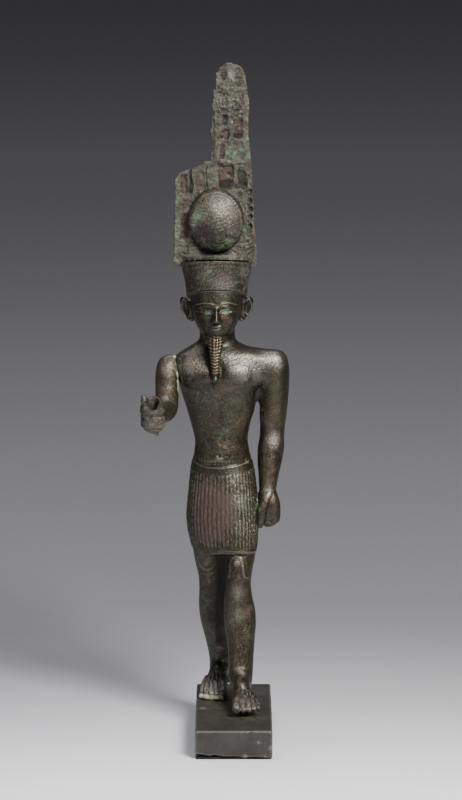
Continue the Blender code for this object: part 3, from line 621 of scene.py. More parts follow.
def earMass(side):
    root, across, up, facing = earAxes(side)
    ear = figureLook["ear"]
    rows = [tilted(root + facing * ahead, across * ear["wide"] / 2 * share, up * ear["high"] / 2 * share)
            for ahead, share in ((-0.9, 0.45), (-0.6, 0.8), (0.0, 1.0), (0.5, 1.0), (0.8, 0.9), (0.85, 0.6))]
    return loft(rows, 40, 5)


def faceForms(across, up):
    # how far the calm, even face stands forward of the head's oval
    side = np.abs(across)
    share = np.clip((10.6 - up) / 4.6, 0.0, 1.0)
    nose = (0.45 + 1.85 * share) * bell(across, 0.0, 0.8 + 0.5 * share ** 3)
    nose = nose / (1.0 + np.exp(-(up - 5.3) / 0.14)) * bell(np.maximum(up - 9.8, 0.0), 0.0, 1.2)
    nose += 0.65 * bell(side, 1.15, 0.5) * bell(up, 5.75, 0.55)
    socket = -1.15 * bell(side, 2.9, 2.0) * bell(up, 9.2, 1.3)
    eyeball = 1.0 * bell(side, 3.2, 1.5) * bell(up, 8.9, 0.8)
    brow = 0.6 * bell(up, 10.8 - 0.045 * (side - 3.0) ** 2, 0.55) * bell(side, 3.2, 3.0)
    cheek = 0.4 * bell(side, 4.3, 2.2) * bell(up, 5.6, 2.1)
    arc = 0.035 * side ** 2
    lips = bell(side, 0.0, 2.2) * (0.65 * bell(up, 3.85 + arc, 0.5) + 0.42 * bell(up, 2.75 + arc, 0.56))
    corners = -0.3 * bell(side, 2.7, 0.55) * bell(up, 3.5, 0.6)
    chin = 0.55 * bell(across, 0.0, 2.2) * bell(up, 0.9, 1.0)
    return nose + socket + eyeball + brow + cheek + lips + corners + chin


def facePlace(points):
    x, z = figureLook["chin"]
    return points[:, 0] - x, points[:, 2] - z


def faceShape(points):
    across, up = facePlace(points)
    facing = rise(13.5 - points[:, 1], 0.0, 7.0) ** 0.5
    points[:, 1] -= faceForms(across, up) * facing
    return points


def browLine(side):
    return 11.3 + 0.75 * bell(side, 3.6, 2.6) - 0.35 * rise(side, 5.0, 8.0)


def faceLines(across, up):
    # lids, brows, nostrils and the line of the lips
    side = np.abs(across)
    out = (side - 3.2) / 1.95
    tall = 0.72 * np.maximum(1.0 - out ** 2, 0.0)
    over = up - 8.9 - 0.05 * out
    near = window(np.abs(out), -1.0, 1.12, 0.15)
    lift = 0.26 * bell(over, tall + 0.08, 0.2) * near
    lift += 0.16 * bell(over, -0.8 * tall - 0.06, 0.16) * near
    lift -= 0.16 * bell(over, tall * 0.72, 0.12) * near
    lift += 0.2 * bell(nearPath(side, up, [(5.0, 8.9), (6.2, 8.95), (7.6, 8.7)]), 0.0, 0.24)
    lift += 0.3 * bell(up, browLine(side), 0.32) * window(side, 0.6, 7.4, 0.8)
    lift -= 0.5 * bell(side, 0.66, 0.3) * bell(up, 4.95, 0.24)
    lift -= 0.3 * bell(up, 3.32 + 0.035 * side ** 2, 0.15) * bell(side, 0.0, 2.2)
    lift -= 0.15 * bell(across, 0.0, 0.3) * window(up, 4.2, 5.0, 0.3)
    return lift


def carvedHead(points, normals, mine):
    across, up = facePlace(points)
    lift = faceLines(across, up) * mine("head") * rise(-normals[:, 1], 0.0, 0.4) * rise(11.0 - points[:, 1], 0.0, 4.0)
    for side, name in ((-1, "earRight"), (1, "earLeft")):
        root, over, high, facing = earAxes(side)
        ear = figureLook["ear"]
        local = points - root
        wide, tall = local @ over / (ear["wide"] / 2), local @ high / (ear["high"] / 2)
        ring = np.hypot(wide, tall)
        outer = mine(name) * rise(normals @ facing, 0.0, 0.5)
        bowl = 0.55 * bell(ring, 0.84, 0.17) - 1.1 * (1.0 - rise(ring, 0.25, 0.7))
        fold = 0.5 * bell(np.hypot(wide * 1.2 + 0.25, tall - 0.05), 0.5, 0.12) * rise(wide, -0.1, 0.2)
        lift += outer * (bowl + fold)
    return lift


def beardPlace(points):
    rows = np.array(beardRows)[::-1]
    x, y = np.interp(points[:, 2], rows[:, 2], rows[:, 0]), np.interp(points[:, 2], rows[:, 2], rows[:, 1])
    return np.arctan2(points[:, 0] - x, y - points[:, 1])


def carvedBeard(points, mine):
    # plaits that point down the middle, closer together towards the tip
    turn, z = beardPlace(points), points[:, 2]
    plait = np.cos(2.0 * math.pi * (z / 1.06 - 0.36 * np.abs(turn) + 0.08 * np.sin(z)))
    upper = rise(z, 119.0, 122.5)
    parting = 0.22 * upper * (bell(np.abs(turn), 0.62, 0.14) + bell(turn, 0.0, 0.1))
    return mine("beard") * window(z, 112.6, 126.2, 0.9) * (0.13 * plait * (1.0 - 0.3 * upper) - parting)


def crownPlace(points):
    # round the crown, and up from its lower edge, which rises to the front
    crown = figureLook["crown"]
    turn = np.arctan2(points[:, 0] - crown["x"], crown["y"] - points[:, 1])
    return turn * crown["radius"], points[:, 2] - (crown["edge"] + crown["frontRise"] * np.cos(turn))


def carvedCrown(points, normals, mine):
    crown = mine("crown") * (np.abs(normals[:, 2]) < 0.75)
    across, up = crownPlace(points)
    lift = 0.3 * rise(up, -0.2, 0.5) - 0.3 * bell(up, -0.15, 0.3) + 0.15 * bell(up, 8.6, 0.6)
    chosen = np.flatnonzero(crown)
    here, high = across[chosen], up[chosen]
    look, strokes = figureLook["strokes"], np.zeros(len(chosen))
    dice = np.random.default_rng(look["seed"])
    for _ in range(look["count"]):
        x, z = dice.uniform(*look["across"]), dice.uniform(*look["up"])
        slant, length = dice.normal(*look["slant"]), dice.uniform(*look["length"])
        near = np.flatnonzero((np.abs(here - x) < length) & (np.abs(high - z) < length))
        run = 0.5 * length * np.array((math.cos(slant), math.sin(slant)))
        middle = (x + 0.12 * length, z - 0.1 * length)
        path = [(x - run[0], z - run[1]), middle, (x + run[0], z + run[1])]
        depth = dice.uniform(*look["depth"])
        strokes[near] -= depth * bell(nearPath(here[near], high[near], path), 0.0, look["width"])
    lift[chosen] += np.maximum(strokes, look["deepest"])
    return lift * crown


def carvedTrunk(points, normals, mine):
    x, _, z = points.T
    off = x - figureLook["middle"]
    wide = np.abs(off)
    ahead, behind = rise(-normals[:, 1], 0.05, 0.5), rise(normals[:, 1], 0.05, 0.5)
    crease = 109.7 + 0.9 * bell(off, 0.0, 2.5) + 2.5 * rise(wide, 9.0, 13.0)
    front = 0.62 * rise(z - crease, -1.7, 1.5) * bell(np.maximum(z - 112.0, 0.0), 0.0, 5.0) * window(wide, 0.0, 13.5, 4)
    front += 0.7 * bell(wide, 7.6, 4.4) * bell(z, 114.0, 3.8)
    front -= 0.45 * bell(off, 0.0, 1.7) * window(z, 106.0, 119.0, 3.0)
    front -= 0.2 * bell(off - 0.2, 0.0, 1.6) * window(z, 86.0, 108.0, 4.0)
    front += 0.2 * bell(nearPath(wide, z, [(1.8, 119.6), (6.0, 118.9), (11.5, 119.2)]), 0.0, 1.4)
    front += 0.22 * bell(np.hypot(wide - 9.6, z - 110.9), 0.0, 0.5)
    hollow = np.hypot((x + 5.0) / 0.8, (z - 84.3) / 0.9)
    front += 0.45 * bell(np.hypot((x + 5.0) / 1.7, z - 82.9), 0.0, 0.9) - 0.55 * bell(hollow, 0.0, 0.7)
    front += 0.5 * bell(off, 0.0, 6.0) * bell(z, 86.0, 3.5)
    front -= 0.3 * bell(z, 101.0, 3.5) * bell(wide, 0.0, 5.0)
    run = x + 4.0
    for rim in (0.0, 1.5, 3.1):      # necklace lines
        line = 113.5 + rim + 0.12 * run + 0.026 * run ** 2
        front -= 0.07 * bell(z, line, 0.14) * window(run, -0.6 + rim, 12.6, 1.0)
    back = 0.4 * bell(wide, 6.4, 3.0) * bell(z, 111.5, 4.5) - 0.8 * bell(off, 0.0, 1.2) * window(z, 84.0, 118.0, 4.0)
    trunk = mine("torso") | mine("yoke") | mine("shoulderRight") | mine("neck") | mine("pecFold")
    return trunk * (ahead * front + behind * back)


def kiltPlace(points):
    # angle round the kilt, a quarter turn at the front, and the heights of its belt and hem there
    rows = np.array(kiltRows)[::-1]
    x, y, side, front, back = (np.interp(points[:, 2], rows[:, 2], column) for column in (
        rows[:, 0], rows[:, 1], rows[:, 3], -rows[:, 7], rows[:, 10]))
    skew = np.interp(points[:, 2], rows[:, 2], rows[:, 4] / rows[:, 3])
    across = (points[:, 0] - x) / side
    ahead = y + skew * (points[:, 0] - x) - points[:, 1]
    angle = np.arctan2(ahead / np.where(ahead > 0.0, front, back), across)
    belt = figureLook["belt"] + 2.7 * (1.0 - np.sin(angle)) + 0.3 * np.cos(angle)
    low = 1.5 * rise(-3.0 - points[:, 0], 0.0, 9.0)
    return angle, belt, figureLook["hem"] - 0.6 * np.cos(angle) - low


def carvedKilt(points, mine):
    angle, belt, hem = kiltPlace(points)
    z = points[:, 2]
    lift = (mine("kilt") | mine("torso")) * (0.16 * bell(z, belt, 0.32) - 0.14 * bell(z, belt + 0.65, 0.4))
    lift -= mine("kilt") * 0.08 * bell(z, belt - 2.4, 0.3)
    waver = 0.16 * cloud(points * (0.3, 0.3, 0.12), 1.0, 3, 2)
    phase = angle / (2.0 * math.pi) * figureLook["pleats"] + waver
    groove = np.abs(phase - np.round(phase)) * 2.0
    reach = window(z, hem + 0.5, belt - 2.3, 0.8) * (0.75 + 0.45 * cloud(points, 2.6, 5, 2))
    pressed = 0.35 * groove - 0.7 * bell(groove, 0.0, 0.34)
    beads = cloud(points * (1.0, 1.0, 0.7), 0.6, 8, 2)
    lift += mine("kilt") * figureLook["pleatDepth"] * reach * (pressed + 0.75 * beads)
    return lift + mine("kilt") * 0.14 * bell(z, hem, 0.3) * rise(points[:, 0], -7.0, -1.0)


def carvedLegs(points, normals, mine):
    x, y, z = points.T
    ahead = rise(-normals[:, 1], 0.0, 0.45)
    kneePath = [(-2.4, 42.2), (-1.6, 42.6), (-1.3, 44.5), (-1.2, 47.2), (-0.5, 49), (0.9, 49.8), (2.3, 49),
        (3, 47.2), (3.3, 44.5), (3.8, 42.6), (4.7, 42.2)]
    front = 0.24 * bell(nearPath(x, z, kneePath), 0.0, 0.5) + 0.5 * bell(np.hypot(x - 0.9, z - 47.4), 0.0, 1.4)
    front += 0.16 * bell(x - 1.1, 0.0, 1.1) * window(z, 10.0, 40.0, 6.0)
    cap = [(-12.4, 47.6), (-12.1, 45.8), (-11.4, 44.3), (-10.3, 43.3), (-9, 42.9), (-7.7, 43.2), (-6.7, 44.1),
        (-6.2, 45.3)]
    away = nearPath(x, z, cap)
    rear = 0.18 * bell(away, 0.0, 0.6) - 0.12 * bell(nearPath(x, z + 0.95, cap), 0.0, 0.5)
    rear += 0.4 * bell(np.hypot((x + 9.2) / 1.4, z - 45.4), 0.0, 1.7)
    rear += 0.12 * bell(x + 6.6, 0.0, 1.1) * window(z, 10.0, 38.0, 6.0)
    lift = ahead * (mine("legFront") * front + mine("legRear") * rear)
    for name, foot in figureLook["feet"].items():
        toeX, heelY, rootX, bigSide = foot["toes"], foot["heel"], foot["root"], foot["bigSide"]
        top = mine(f"foot{name.capitalize()}") | mine(f"instep{name.capitalize()}")
        for number in range(4):
            gap = (toeShape[number][0] + toeShape[number + 1][0]) / 2
            tip = (toeX - bigSide * gap, heelY - 19.0)
            root = (rootX + (toeX - rootX) * 0.6 - bigSide * gap * 0.6, heelY - 10.5)
            away = nearPath(x, y, [tip, root])
            lift -= top * 0.6 * bell(away, 0.0, 0.36) * rise(normals[:, 2], 0.0, 0.4) * rise(heelY - 12.0 - y, 0, 4)
        for number, (offset, half, reach, _) in enumerate(toeShape):
            nail = np.hypot((x - toeX + bigSide * offset) / (half * 0.62), (y - heelY + reach - 0.9) / 0.85)
            toe = mine(f"{name}Toe{number}") * rise(normals[:, 2], -0.1, 0.4)
            lift += toe * (0.04 * bell(nail, 1.15, 0.2) - 0.12 * (1.0 - rise(nail, 0.75, 1.0)))
    return lift


def patches(points, spots):
    # soft spots: x, y, z, radius, strength
    total = np.zeros(len(points))
    for x, y, z, radius, strength in spots:
        total += strength * bell(np.linalg.norm(points - (x, y, z), axis=1), 0.0, radius)
    return np.clip(total, 0.0, 1.0)


figureLook.update({
    "softened": [(11, 12, 114.5, 6.5), (-14, 11, 115, 6.5), (-5.4, 11, 119.5, 7), (2.5, 10, 116, 6),
        (-12, 10, 117, 5), (9, 14, 104, 5), (-5.4, 8, 106, 7), (-5, 20.2, 8.8, 3.4), (2.5, -4, 8.6, 3.2),
        (2.6, -4.5, 5, 2.4), (8.8, 11.5, 67, 3), (10.6, 7.8, 66.6, 2.2), (2.6, 15.4, 119, 5), (-13.4, 15.4, 119, 5),
        (-5.4, 22, 116, 8)],
    "fine": [(-17, 5.5, -2, 10.5, 109.5, 144), (-20, -12, 6, 20, 127, 141), (3, 12, 6, 20, 127, 141),
        (-4, 12, -20, -9, -2, 7), (-14, 0, 7, 18, -2, 7), (8, 18, 5, 18, 56, 72)],
    "green": [(-9.5, 5, 147.2, 3.4, 0.38), (3.8, 8, 148, 3.6, 0.42), (-7.5, 3, 149, 2.2, 0.3), (5, 12, 144, 3, 0.4),
        (-2.6, 4.5, 135.6, 2.6, 0.5), (-9, 4.5, 134.4, 1.8, 0.35), (4.2, 12, 104, 3.6, 0.5), (-5, 7.5, 91, 4, 0.36),
        (4.4, 6, 68, 5, 0.45), (9.4, 9, 65, 2.6, 0.7), (6.5, 8, 58, 4, 0.5), (-12.5, 8, 106.5, 3.4, 0.4),
        (9.2, 12, 101, 3, 0.4), (2, 7, 119.5, 3.5, 0.35), (1, 6.5, 96, 4, 0.35), (5, 10, 82, 2.4, 0.5),
        (-14, 9, 113, 3.4, 0.35), (-6, 27, 140, 6, 0.5), (-8, 23, 100, 6, 0.4), (6, 12, 10, 5, 0.3)],
    "rust": [(-5.9, 3.2, 128.7, 1.7, 0.95), (-13.6, 9, 147.5, 3, 0.7), (-4.3, 3, 147.4, 1.6, 0.7),
        (-1, 5.5, 131.3, 2.2, 0.6), (-9.5, 6, 69, 8, 0.85), (-10, 6, 58, 7, 0.85), (-3.4, 5, 64, 5, 0.75),
        (-2.5, 6, 103, 3, 0.4), (5.2, 3, 30.5, 3, 0.55), (-2.2, 3, 46, 3, 0.5), (13.5, 10, 99, 3.6, 0.45),
        (12, 10, 77, 3.4, 0.45), (-0.8, 3, 27, 3, 0.45), (1, 0, 13, 3.4, 0.4), (-8, 24, 64, 9, 0.5),
        (-15, 9, 117, 3, 0.5)],
    "tan": [(13.5, 10, 92, 16, 0.5), (12, 10, 72, 9, 0.6), (1.5, 2, 28, 12, 0.25)],
    "pale": [(-10.9, 11.6, -1.5, 1.6, 1), (-9.2, 10.4, -1.5, 1.9, 1), (-7.4, 9.8, -1.6, 1.8, 0.9),
        (-5.8, 9.6, -1.6, 1.7, 1), (-3.9, 9.6, -1.7, 1.6, 0.9)],
    "seam": [(-18.6, 9.5, 118.4, 1.6, 0.8), (-18.5, 9, 114.6, 1.5, 0.8), (-18.2, 9, 110.6, 1.5, 0.8),
        (-17.6, 9, 107, 1.6, 0.8)],
    # painted highlights: silvery spots where the key light strikes the chest, shoulders, elbow, wrist, kilt, knee,
    # shins, ankle, toes and crown
    "painted_highlight": [(4.6, 6.5, 115.2, 4.2, 0.9), (13.6, 9.6, 118, 3.6, 0.8), (-13.8, 8.2, 115.4, 3.2, 0.75),
        (-0.8, 8, 118.6, 2.8, 0.45), (13.9, 10.5, 89.2, 2.3, 0.9), (11.9, 8.6, 71.2, 1.9, 0.7),
        (1.4, 5, 77, 3.2, 0.45), (2, 4.4, 69, 3.4, 0.35), (2.8, 4.4, 60, 3, 0.25), (1, 1.6, 48.6, 1.5, 0.8),
        (1.4, 1.6, 37, 2, 0.3), (1.6, 1.4, 29, 2, 0.25), (1.6, -1.4, 10.4, 1.1, 1), (3.4, -14, 2, 4.6, 0.5),
        (-7.2, 11.5, 1, 4, 0.7), (-4.8, 21.4, 13.4, 1.2, 0.7), (-4.8, 7.6, 82.6, 0.8, 0.5),
        (-3, 3.6, 143.6, 3.4, 0.35), (9.6, 12, 96, 1.4, 0.3)],
    # painted shade: under the beard, under and behind the feet, between the legs, in the armpit, at the hem's left and
    # down the shaded rear leg, with a few dark patches besides
    "shade_and_dark_patches": [(-6.3, 5, 109.4, 2.6, 0.8), (-6, 26, -1.5, 6, 0.7), (-2.4, 15, 47, 4.5, 1), (-2.4, 16, 40, 4.2, 1),
        (-2.2, 17, 33, 4.2, 1), (-1.8, 18, 26, 4, 0.8), (9, 13, 104, 2.4, 0.9), (9, 13, 108, 1.6, 0.6),
        (3.2, -6, -1.8, 6, 0.8), (-8.5, 9, 49.5, 4, 0.5), (-8.5, 15, 36, 6, 0.5), (-7.5, 17, 25, 6, 0.5),
        (-5.5, 20, 14, 5, 0.45), (2, 2.6, 22, 4, 0.35)],
})


def makeFigure(material):
    look = figureLook
    knuckles = np.array((12.1, 12.0, 62.3))
    masses = {
        "torso": loft(torsoRows), "yoke": loft(yokeRows), "neck": loft(neckRows),
        "head": loft(headRows, 120, 12, faceShape), "crown": loft(crownRows, 72, 8), "beard": loft(beardRows, 30, 6),
        "earRight": earMass(-1), "earLeft": earMass(1), "shoulderRight": loft(shoulderRows),
        "armLeft": loft(leftArmRows), "palmLeft": loft(leftPalmRows), "thumbLeft": loft(leftThumbRows, 20, 5),
        "legRear": loft(rearLegRows), "legFront": loft(frontLegRows),
        "footRear": loft(footRows(look["feet"]["rear"])), "footFront": loft(footRows(look["feet"]["front"])),
        "kilt": loft(kiltRows, 90, 8, kiltHem), "beardTip": lump((-6.35, 3.5, 111.2), (1.3, 1.35, 1.15)),
        "instepFront": lump((2.6, -3.4, 5.4), (3.1, 4.4, 3.3)), "instepRear": lump((-4.9, 21.4, 5.2), (3.3, 4.4, 3.3)),
        "ankleFront": lump((2.5, -1.2, 8.2), (2.9, 2.4, 3.0)), "ankleRear": lump((-4.8, 23.4, 8.2), (3.2, 2.4, 3.0)),
        "heelRear": lump((-4.2, 25.5, 2.4), (3.9, 5.0, 3.4)),
        "pecFold": lump((8.4, 12.6, 112.6), (4.2, 4.2, 5.2)),
        "armpit": loft([level(8.9, 16.2, 101.5, 0.7, 1.2, 1.4), level(9.0, 16.2, 103.5, 1.6, 2.8, 3.0),
                        level(9.2, 16.0, 107.5, 2.2, 3.4, 4.2), level(9.4, 15.6, 112.5, 2.4, 4.4, 4.6)]),
        "handWeb": lump((8.5, 12.0, 65.6), (1.4, 2.6, 3.8)),
    }
    for side, name in ((-1, "earRight"), (1, "earLeft")):
        root, across, up, facing = earAxes(side)
        bead = root - up * look["ear"]["high"] * 0.47 + facing * 0.5 - across * 0.5
        masses[f"{name}Bead"] = lump(bead, (0.85, 0.75, 0.8))
    for number in range(4):
        centre = knuckles - (0.0, 3.2 - 2.1 * number, 0.0)
        masses[f"fingerLeft{number}"] = fingerMass(centre, (1, 0, 0), (0, -1, 0), 2.1, 40.0, -205.0, 1.3, 1.1)
    for name, foot in look["feet"].items():
        masses.update(toeMasses(name, foot))
    low = (plinthHigh.z - ground) / unit + 0.3
    for name, foot in look["feet"].items():
        rows = [level(foot["tang"], foot["heel"] - 9.0, z, 2.3, 5.6, 5.0, square=3.0) for z in (low, 0.0, 1.2)]
        masses[f"tang{name.capitalize()}"] = loft(rows, 32, 4)
    for number, (x, y, _, size, _) in enumerate(look["pale"]):
        fill = (size * 0.8, 1.0 + 0.4 * (number % 2), 0.75 + 0.25 * (number % 3))
        masses[f"fill{number}"] = lump((x, y + 0.2, low + 0.6), fill)
    piece, tree, labels, numbers = cast("striding_figure", masses, look)
    mesh = piece.data
    refined(mesh, look["fine"])
    points, edges = smoothed(mesh, look)
    owner = ownersOf(points, tree, labels)

    def mine(name):
        return owner == numbers[name]

    normals = normalsOf(mesh)
    lift = carvedTrunk(points, normals, mine) + carvedKilt(points, mine) + carvedLegs(points, normals, mine)
    lift += carvedHead(points, normals, mine) + carvedBeard(points, mine) + carvedCrown(points, normals, mine)
    calm = 1.0 - 0.75 * mine("head") * rise(12.0 - points[:, 1], 0.0, 3.0)
    lift += calm * look["castingLumps"] * (cloud(points, 2.6, 1, 3) + 1.6 * cloud(points, 9.0, 2))
    lift += calm * pitted(points, look, 7)
    points, normals = raised(mesh, points, normals, lift)
    across, up = facePlace(points)
    brow = 0.7 * bell(up, browLine(np.abs(across)), 0.4) * window(np.abs(across), 0.6, 7.4, 0.8) * mine("head")
    hollow = hollowness(points, normals, edges)
    marks = {name: patches(points, look[name]) for name in ("green", "rust", "tan", "painted_highlight", "shade_and_dark_patches")}
    marks["hollow"] = np.where(mine("kilt"), 0.5 + 0.6 * (hollow - 0.5), hollow)
    marks["crust"] = np.clip(0.35 * mine("crown") + marks["green"] * 0.5 + patches(points, look["seam"]), 0, 1)
    marks["green"] = marks["green"] + 0.22 * mine("head") * bell(np.abs(across), 3.2, 2.0) * bell(up, 8.7, 1.1)
    plaited = mine("beard") * window(points[:, 2], 112.8, 127.5, 1.5) * (0.5 + 0.3 * cloud(points, 1.4, 71))
    marks["gold"] = np.clip(plaited + brow, 0, 1)
    marks["pale"] = patches(points, look["pale"]) * rise(-0.6 - points[:, 2], 0.0, 0.3)
    finished(piece, points, marks, look, "figure", material)


# The right arm: cast apart, bent forward, its fist torn open at the top.
armLook = {
    "voxel": 0.2, "quickVoxel": 0.4, "triangles": 90000, "smoothRounds": 3, "meltRounds": 60,
    "grip": (-27.1, -20.4, 103.0), "bore": 1.9,
    "lumpsOfFist": {
        "heel": ((-0.1, -0.2, -1.9), (4.3, 4.2, 4.5), 0.0), "stub": ((0.3, -0.4, -6.6), (1.7, 1.5, 2.0), 0.3),
        "shard": ((-2.9, -1.0, 4.4), (1.15, 1.3, 2.9), -0.15), "back": ((0.2, 3.2, 4.2), (2.6, 1.2, 1.8), 0.1)},
    "fine": [(-40.0, -15.0, -40.0, -13.0, 80.0, 120.0)],
    "softened": [(-22.9, 2, 103, 5.5), (-26.2, -14.5, 103.2, 2.6), (-27.1, -23, 100.5, 3.4)],
    "lumps": 0.09, "pits": 260, "pitSize": (0.15, 0.5), "pitDepth": 0.5,
    "green": [(-21, 12, 118.6, 2.2, 0.6), (-19.6, 10.5, 112, 2, 0.5), (-27.5, -22, 98, 2.5, 0.4)],
    "rust": [(-25, 2, 105, 4, 0.5), (-24, 10, 112, 3, 0.45), (-26, -16, 106, 2.4, 0.5)],
    "tan": [(-24, 6, 110, 9, 0.7), (-25, -8, 105, 5, 0.5)],
    "crust": [(-19.8, 12.5, 118.5, 2.2, 0.8), (-19.3, 12.5, 117.5, 2.2, 0.7), (-19, 10, 113.5, 2, 0.8),
        (-18.8, 9, 109.5, 1.8, 0.8)],
    "seam": [(-20.4, 119.6), (-19.6, 116), (-19.3, 111.5), (-18.8, 106.4)],
    # painted highlights where the light strikes the upper arm and elbow
    "painted_highlight": [(-22.6, 9.4, 113.6, 2.6, 0.5), (-22.2, -0.6, 104, 2.2, 0.6), (-23.6, 5.2, 107.6, 2, 0.4)],
    # painted shade in the torn top of the fist and under the forearm
    "shade_and_dark_patches": [(-26.6, -20.5, 107, 2.8, 1), (-22.6, -6, 98.2, 3, 0.5)],
}

rightArmRows = levels(
    (-20.6, 16, 118, 1.9, 2, 2.2, 15), (-21.6, 15.4, 117, 3.3, 3.7, 3.9, 22), (-22.3, 14, 115, 4, 4.3, 4.6, 30),
    (-22.8, 11.4, 111.8, 4.1, 4.2, 4.6, 38), (-22.9, 8, 108, 4, 4, 4.3, 42), (-22.9, 4.8, 104.6, 3.95, 3.8, 4, 50),
    (-22.9, 1.6, 102.2, 3.95, 3.8, 3.9, 70), (-23.4, -2.6, 101.4, 3.8, 3.7, 3.7, 92),
    (-24.4, -7.2, 102, 3.4, 3.3, 3.5, 98), (-25.5, -11.6, 102.7, 2.9, 2.8, 3.2, 98),
    (-26.3, -15, 103.3, 2.9, 2.9, 3.4, 98))
rightPalmRows = levels(
    (-26.3, -14, 103.2, 2.6, 2.8, 3.2, 98), (-27, -16.4, 103.5, 3.4, 4.2, 4.4, 92, 0, 2.6),
    (-27.5, -19, 103.7, 3.9, 5.2, 4.7, 90, 0, 2.8), (-27.6, -21.4, 103.7, 3.7, 5, 4.7, 90, 0, 2.8),
    (-27.6, -23, 103.6, 2.9, 4.4, 4.2, 90, 0, 2.6))


def tunnel(centre, radius, depth):
    bm = bmesh.new()
    bmesh.ops.create_cone(bm, cap_ends=True, segments=40, radius1=radius, radius2=radius, depth=depth)
    bmesh.ops.subdivide_edges(bm, edges=[e for e in bm.edges if abs(e.verts[0].co.z - e.verts[1].co.z) > 1.0], cuts=20)
    for vert in bm.verts:
        turn = math.atan2(vert.co.y, vert.co.x)
        vert.co *= Vector((1.0, 1.0, 1.0)) + 0.05 * math.sin(3.0 * turn + 2.0 * vert.co.z) * Vector((1.0, 1.0, 0.0))
    bmesh.ops.translate(bm, verts=bm.verts[:], vec=centre)
    return bm


def ragged(centre, size, rough, seed):
    # a torn, uneven hollow
    bm = bmesh.new()
    bmesh.ops.create_icosphere(bm, subdivisions=5, radius=1.0)
    points = np.array([vert.co for vert in bm.verts])
    points *= 1.0 + rough * cloud(points, 0.8, seed, 3)[:, None]
    for vert, point in zip(bm.verts, points * size + centre):
        vert.co = point
    return bm


def makeArm(material):
    look = armLook
    grip = np.array(look["grip"])
    masses = {"arm": loft(rightArmRows), "palm": loft(rightPalmRows)}
    for number in range(3):
        centre = grip + (0.0, 0.0, 1.6 - 2.35 * number)
        masses[f"finger{number}"] = fingerMass(centre, (1, 0, 0), (0, 0, 1), 2.75, -205.0, 15.0, 1.45, 1.3)
    for name, (offset, size, turn) in look["lumpsOfFist"].items():
        masses[name] = lump(grip + offset, size, turn)
    piece = cast("bent_right_arm", masses, look)[0]
    mesh = piece.data
    refined(mesh, look["fine"])
    points, edges = smoothed(mesh, look)
    normals = normalsOf(mesh)
    fist = rise(-15.0 - points[:, 1], 0.0, 3.0)
    lift = look["lumps"] * (cloud(points, 2.4, 11, 3) * (1.0 + 2.2 * fist) + 1.5 * cloud(points, 7.0, 12))
    for height in (103.2, 98.6):
        lift -= fist * 0.25 * bell(points[:, 2], height, 0.25)
    lift += pitted(points, look, 17)
    points, normals = raised(mesh, points, normals, lift)
    marks = {name: patches(points, look[name]) for name in ("green", "rust", "tan", "painted_highlight", "shade_and_dark_patches")}
    marks["hollow"], marks["grey"] = hollowness(points, normals, edges), 0.6 * fist
    marks["crust"] = np.clip(0.5 * fist + patches(points, look["crust"]), 0, 1)
    seam = bell(nearPath(points[:, 0], points[:, 2], look["seam"]), 0.0, 0.55 + 0.3 * cloud(points, 1.3, 72))
    marks["pale"] = 0.85 * seam * (0.65 + 0.5 * cloud(points, 1.1, 73)) * rise(14.0 - points[:, 1], 0.0, 2.0)
    seats = [loft(grown(rows, figureSizes["seam"])) for rows in (shoulderRows, yokeRows, torsoRows)]
    torn = ragged(grip + (0.4, -3.2, 5.6), (3.1, 3.6, 3.8), 0.16, 3)
    carved(piece, [tunnel(grip, look["bore"], 24.0), torn] + seats)
    finished(piece, points, marks, look, "right_arm", material)


